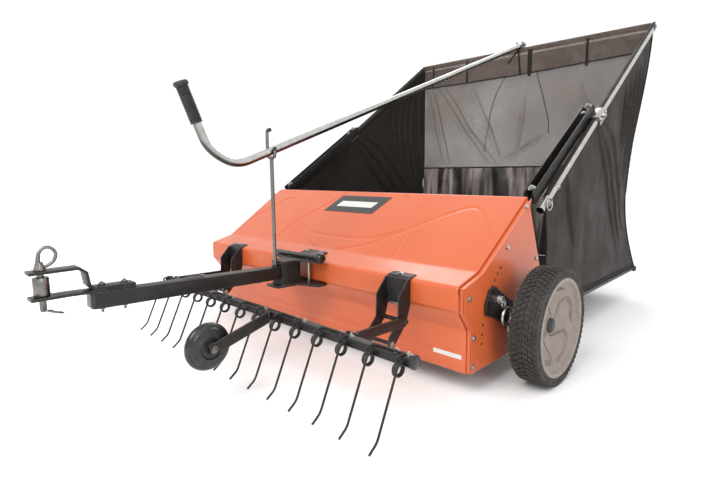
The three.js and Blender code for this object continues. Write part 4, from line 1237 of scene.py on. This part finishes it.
# Creases as (y, z) lines on a side panel and (x, z) lines on the rear netting: pulled tight from the
# saddle to the lower rear corner, and hanging from the top tube's left end.
SIDE_FOLDS = [
    [(548, 705), (690, 600), (850, 420), (930, 250)],
    [(540, 690), (640, 560), (760, 430), (880, 240)],
    [(575, 722), (720, 660), (890, 480), (985, 300)],
    [(1010, 1000), (975, 860), (960, 690), (985, 480)],
    [(955, 945), (925, 850), (915, 700), (945, 520)],
    [(890, 895), (868, 760), (878, 610)],
    [(820, 880), (828, 760), (842, 620)],
    [(1062, 1040), (1040, 880), (1030, 720), (1045, 540), (1060, 400)],
    [(300, 545), (330, 430), (390, 300)],
]
NET_FOLDS = [
    [(-545, 1010), (-485, 780), (-405, 585)],
    [(-515, 1000), (-440, 790), (-368, 585)],
    [(-480, 1000), (-300, 770), (-140, 585)],
    [(-420, 985), (-260, 760), (-95, 585)],
    [(-250, 960), (-140, 760), (-60, 585)],
    [(-50, 600), (60, 655), (130, 700)],
    [(40, 900), (30, 740), (10, 590)],
    [(300, 930), (352, 760), (340, 585)],
    [(500, 1000), (440, 800), (400, 590)],
    [(545, 960), (520, 760), (470, 590)],
]


def crease_at(a, b, folds, width):
    """How strongly a point sits on a crease: 1 on its line, a little below 0 beside it, 0 away."""
    strongest = 0.0
    for line in folds:
        for number, ((ax, az), (bx, bz)) in enumerate(zip(line, line[1:])):
            dx, dz = bx - ax, bz - az
            share = ((a - ax) * dx + (b - az) * dz) / (dx * dx + dz * dz)
            if not -0.2 < share < 1.2:
                continue
            share = max(0.0, min(1.0, share))
            away = math.hypot(a - ax - share * dx, b - az - share * dz) / width
            if away > 3:
                continue
            along = (number + share) / (len(line) - 1)
            fade = math.sin(math.pi * (0.04 + 0.92 * along)) ** 0.6
            value = fade * (math.exp(-away**2) - 0.35 * math.exp(-((away - 1.7) / 0.7)**2))
            if abs(value) > abs(strongest):
                strongest = value
    return strongest


def draw_in(s):
    return CORNER_PULL * math.sin(math.pi * max(0.0, s) ** 1.65)


def clear_of_arm(point):
    """Near the hopper's pivot the cloth is pressed between the tube and the support arm."""
    if math.hypot(point.y - HOPPER.y, point.z - HOPPER.z) < ARM_CLEAR:
        point.x = max(point.x, ARM_X + 2.2)
    return point


CREASE_WIDTH = 6.5
CREASE_LIFT = 8.5
RIPPLE = 8.0                            # how far the rear cloth's upright folds stand out


def side_point(t, s):
    """The left side panel: t runs back from the front edge, s down from the tube."""
    top_y = FRONT_TOP_Y + (TUBE_HIGH.x - 2 - FRONT_TOP_Y) * t
    low_y = FRONT_LOW_Y + (REAR_LOW_Y - FRONT_LOW_Y) * t
    top_z = on_tube(top_y).y - TOP_GAP
    drawn = draw_in(s) * t ** 2
    y = top_y + (low_y - top_y) * s - drawn
    z = top_z + (BAG_FLOOR - top_z) * s
    loose = math.sin(math.pi * s)
    crease = crease_at(y, z, SIDE_FOLDS, CREASE_WIDTH) * min(1.0, 8 * s, 8 * (1 - s))
    x = SIDE_X - drawn + CREASE_LIFT * crease
    x += 7.0 * noise.noise(Vector((y / 170, z / 230, 3.1))) * loose * min(1, 4 * t)
    x += 2.0 * noise.noise(Vector((y / 34, z / 260, 8.4))) * loose
    x -= 6 * max(0.0, 1 - t / 0.22) * loose * (0.6 + 0.4 * math.sin(z / 31))
    scallop = math.exp(-s / 0.07) * min(1.0, s * 60)
    x -= 2.5 * scallop * abs(math.sin(top_y / 26))
    return clear_of_arm(Vector((x, y, z)))


def sleeve(t):
    """The side panel's upper edge, brought up the tube's inner side and over its top."""
    foot = side_point(t, 0.0)
    centre = Vector((TUBE_X, foot.y, on_tube(foot.y).y))
    points = []
    for k in range(9):
        angle = math.radians(62 + 15.5 * k)
        reach = TUBE + 1.5 + 0.5 * noise.noise(Vector((foot.y / 20, k * 0.7, 5)))
        around = Vector((math.cos(angle) * reach, 0, math.sin(angle) * reach * 1.19))
        points.append(clear_of_arm(centre + around))
    return points


def rear_point(u, z):
    """The rear panel: u runs from -1 on the right to 1 on the left."""
    high = REAR_TOP.z
    s = (high - z) / (high - BAG_FLOOR)
    drawn = draw_in(s)
    x = u * (SIDE_X - 1.5 - drawn)
    y = TUBE_HIGH.x + (REAR_LOW_Y - TUBE_HIGH.x) * s - drawn + 14 * (1 - u * u) * math.sin(math.pi * s)
    held = 1 - u ** 6
    if z > SEAM_Z:
        depth = math.sin(math.pi * (high - z) / (high - SEAM_Z))
        y += 9.0 * noise.noise(Vector((x / 190, z / 150, 1.7))) * depth * held
        y += 6.0 * crease_at(x, z, NET_FOLDS, 8.0) * held
    else:
        depth = min(1.0, (SEAM_Z - z) / 60) * min(1.0, (z - BAG_FLOOR) / 60)
        wave = math.sin(x / 27 + 2.4 * noise.noise(Vector((x / 130, 4.2, z / 420))))
        fold = RIPPLE * math.copysign(abs(wave) ** 0.8, wave)
        y += (fold + 4 * noise.noise(Vector((x / 30, z / 150, 6)))) * depth * held
    return Vector((x, y, z))


def mark(piece, values):
    """Keeps a number per vertex for the material to read."""
    attribute = piece.data.attributes.new("fold", "FLOAT", "POINT")
    attribute.data.foreach_set("value", values)


def rear_grid(high, low, rows):
    """The rear panel between two heights."""
    return grid(lambda u, v: rear_point(2 * u - 1, high + (low - high) * v), 210, rows)


def make_bag_sides():
    columns, rows = 130, 170
    cloth = surface([sleeve(i / rows) + [side_point(i / rows, j / columns) for j in range(columns + 1)]
                     for i in range(rows + 1)])
    for side, shape in pair(cloth):
        panel = build(f"bag_side_{side}_cloth", shape, CLOTH, "hopper", 80,
                      stands_for=[f"bag_side_{side}"], solidify=CLOTH_THICK)


def make_bag_rear():
    """Netting above the seam and cloth below it. Only the cloth's inside is coated."""
    net = build("bag_rear_netting", rear_grid(REAR_TOP.z, SEAM_Z, 110), NETTING, "hopper", 80,
                stands_for=["bag_mesh"], solidify=NET_THICK)
    # the crease values drive the netting's painted highlight on each crease and painted shade beside it, and
    # its denser weave there
    mark(net, [crease_at(v.co.x / MM, v.co.z / MM, NET_FOLDS, 7.0) for v in net.data.vertices])
    rear = build("bag_rear_cloth", rear_grid(SEAM_Z, BAG_FLOOR, 70), CLOTH, "hopper", 80,
                 stands_for=["bag_rear"], solidify=CLOTH_THICK)
    rear.data.materials.append(COATED)
    rear.modifiers["thickness"].material_offset = 1


def make_bag_floor():
    low, high = box("bag_floor")

    def point(u, v):
        x = low.x + (high.x - low.x) * u
        y = low.y + (high.y - low.y) * v
        sag = 6.5 * (1 - (2 * u - 1) ** 2) * math.sin(math.pi * v)
        return Vector((x, y, high.z - sag + 1.2 * noise.noise(Vector((x / 90, y / 90, 2.0)))))

    floor = build("bag_floor_cloth", grid(point, 80, 60), CLOTH, "hopper", 80,
                  stands_for=["bag_floor"], solidify=CLOTH_THICK)


def strip(points, width, out, thick=1.4):
    """A flat band along points, standing off to the side it faces."""
    path = [Vector(p) for p in points]
    outward = Vector(out).normalized()
    lift = outward * thick
    shape = Shape()
    for p, ahead in zip(path, tangents_of(path)):
        across = ahead.cross(outward).normalized() * (width / 2)
        shape.verts += [tuple(v) for v in (p - across, p - across + lift, p + across + lift, p + across)]
    last = 4 * (len(path) - 1)
    for start in range(0, last, 4):
        shape.faces += ring_faces(start, start + 4, 4)
    shape.faces += [(3, 2, 1, 0), (last, last + 1, last + 2, last + 3)]
    return shape


def make_bag_seams():
    """Bound edges: along the netting's lower edge, down the rear corners and round the side panels."""
    def along(count, point, x=0.0, y=0.0, z=0.0):
        return [point(i / count) + Vector((x, y, z)) for i in range(count + 1)]

    inner = along(100, lambda v: rear_point(2 * v - 1, SEAM_Z + 2), y=-2.4)
    outer = along(100, lambda v: rear_point(2 * v - 1, SEAM_Z), y=1.4)
    seams = [strip(inner, 6, (0, -1, 0)), strip(outer, 10, (0, 1, 0))]
    height = REAR_TOP.z - BAG_FLOOR
    for side in (-1, 1):
        corner = along(80, lambda v: rear_point(side, REAR_TOP.z - height * v), side * 1.5, 0.5)
        seams.append(tube(corner, 2.6, 8))
    front = along(40, lambda v: side_point(0.0, v), 1.0, 5)
    low = along(60, lambda v: side_point(v, 1.0), 1.0, z=5)
    seams.append(both(strip(front, 10, X_AXIS) + strip(low, 9, X_AXIS)))
    build("bag_seams", all_of(seams), WEBBING, "hopper", 60)


BAND_REACH = 12.8                       # the top band's distance from the middle of the tube it wraps
BAND_HALF = TUBE_X - 13
BAND_COLUMNS = 120
CROSS_TUBE = (box("hopper_top_tube")[0] + box("hopper_top_tube")[1]) / 2
# The tapes that run down the band, as (x, width), and those of them that end in a buckle.
TAPES = [(60, 22), (-285, 12), (322, 11), (-500, 10)]
BUCKLES = (322, 60)
# The two stay rods, as (x, height) down the rear panel's inside.
STAYS = [
    [(-62, 1050), (-72, 1000), (-107, 945), (-133, 846), (-142, 770), (-152, 693), (-157, 640)],
    [(78, 1060), (90, 1015), (123, 917), (145, 849), (167, 772), (173, 715)],
]


def band_point(x, share):
    """The top band's hanging part, inside the bag: share runs from the tube to its lower edge."""
    drop = (112 - 16 * max(0.0, x / BAND_HALF)) * share
    ruffle = 5.0 * noise.noise(Vector((x / 70, drop / 60, 2))) + 2.0 * math.sin(x / 21) * share
    y = CROSS_TUBE.y - BAND_REACH - abs(ruffle) * min(1, 4 * share)
    return Vector((x, y, CROSS_TUBE.z - 2.5 - drop))


def make_top_band():
    """Netting that wraps the top tube and hangs inside, with its edge and tapes."""
    xs = [-BAND_HALF + 2 * BAND_HALF * i / BAND_COLUMNS for i in range(BAND_COLUMNS + 1)]
    rows = []
    for j in range(13):
        angle = math.radians(-20 + 190 * j / 12)
        around = Vector((0, math.cos(angle), math.sin(angle))) * BAND_REACH
        rows.append([Vector((x, CROSS_TUBE.y, CROSS_TUBE.z)) + around for x in xs])
    rows += [[band_point(x, j / 30) for x in xs] for j in range(1, 31)]
    netting = build("bag_top_band", surface(rows), NETTING, "hopper", 80, solidify=NET_THICK)

    out = (0, -1, 0)
    off = Vector((0, -1.2, 0))
    tapes = [strip([p + off for p in rows[-1]], 6, out)]
    for x, width in TAPES:
        tapes.append(strip([band_point(x, k / 12) + off * 1.5 for k in range(13)], width, out))
    for x in BUCKLES:
        end = band_point(x, 1.0) + off
        tapes.append(strip([end, end + Vector((2, -3, -15))], 15, out, 3))
    knot = Vector((0, CROSS_TUBE.y - 15, CROSS_TUBE.z + 4))
    for x, share in ((14, 1.0), (-52, 0.45)):
        end = band_point(x, share) + off * 3
        tapes.append(strip([knot.lerp(end, k / 6) for k in range(7)], 8, out))
    build("bag_tapes", all_of(tapes), WEBBING, "hopper", 60)


def make_stay_rods():
    lines = [[(x, rear_point(x / SIDE_X, z).y - 9, z) for x, z in stay] for stay in STAYS]
    rods = [tube(smooth(line, 6), 1.9, 10) for line in lines]
    build("bag_stay_rods", all_of(rods), BLACK, "hopper", 60)


# ------------------------------------------------------------------ dump handle
HINGE = local(pivot("dump_handle_swing"))
HANDLE_BENDS = [Vector((0, -487, 562)), Vector((0, -566, 603))]
HANDLE_SLOPE = (HINGE.z - HANDLE_BENDS[0].z) / (HINGE.y - HANDLE_BENDS[0].y)
GRIP_RIBS = 17


def make_handle():
    grip_low, grip_high = box("handle_grip")
    tip = Vector((0, grip_low.y + 14, grip_high.z - 5))
    foot = Vector((0, grip_high.y - 14, grip_low.z + 5))
    tail = Vector((0, HINGE.y + 6, HINGE.z + 6 * HANDLE_SLOPE))
    path = rounded([tail, *HANDLE_BENDS, foot, tip], 45, 10)
    build("dump_handle_tube", tube(spaced(path, 60), TUBE, 28), STEEL, "dump_handle", 40,
          stands_for=["dump_handle"])

    length = (tip - foot).length
    pitch = (length - 16) / GRIP_RIBS
    profile = [(0, 1), (11.4, 0), (15, 0), (16, 1.5)]
    for i in range(GRIP_RIBS):
        at = 5 + pitch * i
        profile += [(13.6, at), (15.4, at + pitch * 0.3), (15.4, at + pitch * 0.7), (13.6, at + pitch)]
    cap = [(16.8, -9), (18.2, -6), (18.2, -1), (15, 2.5), (7, 3.5), (0, 3.5)]
    profile += [(r, length + height) for r, height in cap]
    build("handle_grip_ribbed", turned(profile, foot, tip - foot, 36), GRIP, "dump_handle", 40,
          stands_for=["handle_grip"])

    ends = [(corner.x, HINGE.y, HINGE.z) for corner in box("handle_bracket")]
    hinge = [bolt(ends[1], X_AXIS, 7, stem=4), bolt(ends[0], -X_AXIS, 7), tube(ends, 4, 14)]
    build("handle_hinge_bolt", all_of(hinge), ZINC, "hopper", 40)


def make_rest():
    """The handle's wire rest: an upright, a round cradle and a hook above it, with dipped ends."""
    low, high = box("handle_rest_rod")
    y = (low.y + high.y) / 2
    reach = high.x - 5.5
    cradle = HINGE.z + (y - HINGE.y) * HANDLE_SLOPE - 1.5
    shoulder = cradle - reach * 0.8
    upright = tube([(0, y, low.z), (0, y, cradle - reach)], 5.5, 18)
    hook = [(-reach + 13, high.z - 5.5), (-reach + 3, high.z - 7), (-reach, high.z - 18), (-reach, cradle),
            (-reach * 0.8, shoulder), (0, cradle - reach), (reach * 0.8, shoulder), (reach, cradle),
            (reach, cradle + 10)]
    wire = upright + tube(smooth([(x, y, z) for x, z in hook], 8), 4.6, 14)
    build("handle_rest_wire", wire, DULL_ZINC, "frame", 50, stands_for=["handle_rest_rod"])
    tips = [
        tube([(-reach + 5, y, high.z - 6.6), (-reach + 15, y, high.z - 5.3)], 5.4, 12),
        tube([(reach, y, cradle + 2), (reach, y, cradle + 12)], 5.4, 12),
        turned([(5.6, 0), (9, 0), (9, 4), (5.6, 4)], (0, y, low.z), Z_AXIS, 18),
    ]
    build("handle_rest_tips", all_of(tips), GRIP, "frame", 50)


# ------------------------------------------------------------------ the rest of the hardware
PLATE_BOLTS = [(-236, 250), (-214, 78), (-214, 150), (40, 448), (112, 300), (128, 220), (-60, 350)]


def make_housing_hardware():
    bolts = all_of([bolt((PLATE_X, y, z), X_AXIS, 5, 1.4) for y, z in PLATE_BOLTS])
    build("end_plate_bolts", both(bolts), ZINC, "frame", 40)


dress(BLACK, 0.8, "cross_tie", "hitch_bracket_lower", "hitch_bracket_upper", "tongue_tube",
      "clevis_strap_lower", "clevis_strap_upper", "support_arm_left", "support_arm_right",
      "dethatcher_bracket_left", "dethatcher_bracket_right", "axle_arm_left", "axle_arm_right",
      "lift_arm_left", "lift_arm_right", "tine_bar", "gauge_wheel_arm", "brush_shaft")
dress(BLACK, 0.0, "hopper_bottom_frame")
dress(ZINC, 0.6, "pivot_saddle_left", "pivot_saddle_right")
dress(DULL_ZINC, 0.6, "handle_bracket")
dress(GLOSS, 0.3, "pinion_left", "pinion_right")

make_cover()
make_front_panel()
make_end_plates()
make_badges()
make_brush()
make_tyre()
make_hub()
make_gauge_wheel()
make_hitch()
make_tongue_hardware()
make_tines()
make_bracket_hardware()
make_hopper_tubes()
make_hopper_fasteners()
make_bottom_frame()
make_bag_sides()
make_bag_rear()
make_bag_floor()
make_bag_seams()
make_top_band()
make_stay_rods()
make_handle()
make_rest()
make_housing_hardware()
make_height_pins()


# ------------------------------------------------------------------ studio
def make_studio():
    """A pale round floor that sweeps up into a wall all round, an even sky and three soft lamps."""
    flat, rise = 9.0, 6.0
    profile = [(0.0, 0.0), (flat, 0.0)]
    for k in range(1, 25):
        angle = math.pi / 2 * k / 24
        profile.append((flat + rise * math.sin(angle), rise * (1 - math.cos(angle))))
    sweep = turned(profile, (0, 0, 0), Z_AXIS, 96)
    mesh = bpy.data.meshes.new("studio_floor")
    mesh.from_pydata(sweep.verts, [], sweep.faces)
    mesh.shade_smooth()
    pale = Paint("studio_floor", (0.95, 0.95, 0.95), 0.85)
    mesh.materials.append(pale.material)
    floor = bpy.data.objects.new("studio_floor", mesh)
    bpy.context.scene.collection.objects.link(floor)

    world = bpy.data.worlds.new("studio")
    world.use_nodes = True
    world.node_tree.nodes["Background"].inputs["Color"].default_value = (1, 1, 1, 1)
    world.node_tree.nodes["Background"].inputs["Strength"].default_value = 1.1
    bpy.context.scene.world = world

    for name, spot, size, power, aim in (
            ("key", (0.4, -3.6, 3.6), 2.2, 120, (0, 0, 0.4)),
            ("side", (3.8, -1.2, 2.4), 2.4, 35, (0.3, 0, 0.4)),
            ("rim", (-2.2, 3.4, 3.4), 2.4, 60, (0, 0.4, 0.6))):
        data = bpy.data.lights.new(name, "AREA")
        data.size = size
        data.energy = power
        lamp = bpy.data.objects.new(name, data)
        lamp.location = spot
        lamp.rotation_mode = "QUATERNION"
        lamp.rotation_quaternion = (Vector(aim) - Vector(spot)).to_track_quat("-Z", "Y")
        bpy.context.scene.collection.objects.link(lamp)


def make_camera():
    """A wide view from the front left, low above the ground."""
    azimuth, elevation, roll = math.radians(44.18), math.radians(8.11), math.radians(-0.5)
    forward = Vector((-math.sin(azimuth) * math.cos(elevation), math.cos(azimuth) * math.cos(elevation),
                      -math.sin(elevation)))
    right = Vector((math.cos(azimuth), math.sin(azimuth), 0))
    up = right.cross(forward)
    right, up = (right * math.cos(roll) + up * math.sin(roll), up * math.cos(roll) - right * math.sin(roll))
    data = bpy.data.cameras.new("camera")
    data.sensor_width = 36
    data.lens = 23.89
    camera = bpy.data.objects.new("camera", data)
    turn = Matrix((right, up, -forward)).transposed().to_4x4()
    camera.matrix_world = Matrix.Translation((1.1329, -1.2652, 0.5435)) @ turn
    bpy.context.scene.collection.objects.link(camera)
    bpy.context.scene.camera = camera


make_studio()
make_camera()
bpy.context.scene.view_settings.view_transform = "Standard"
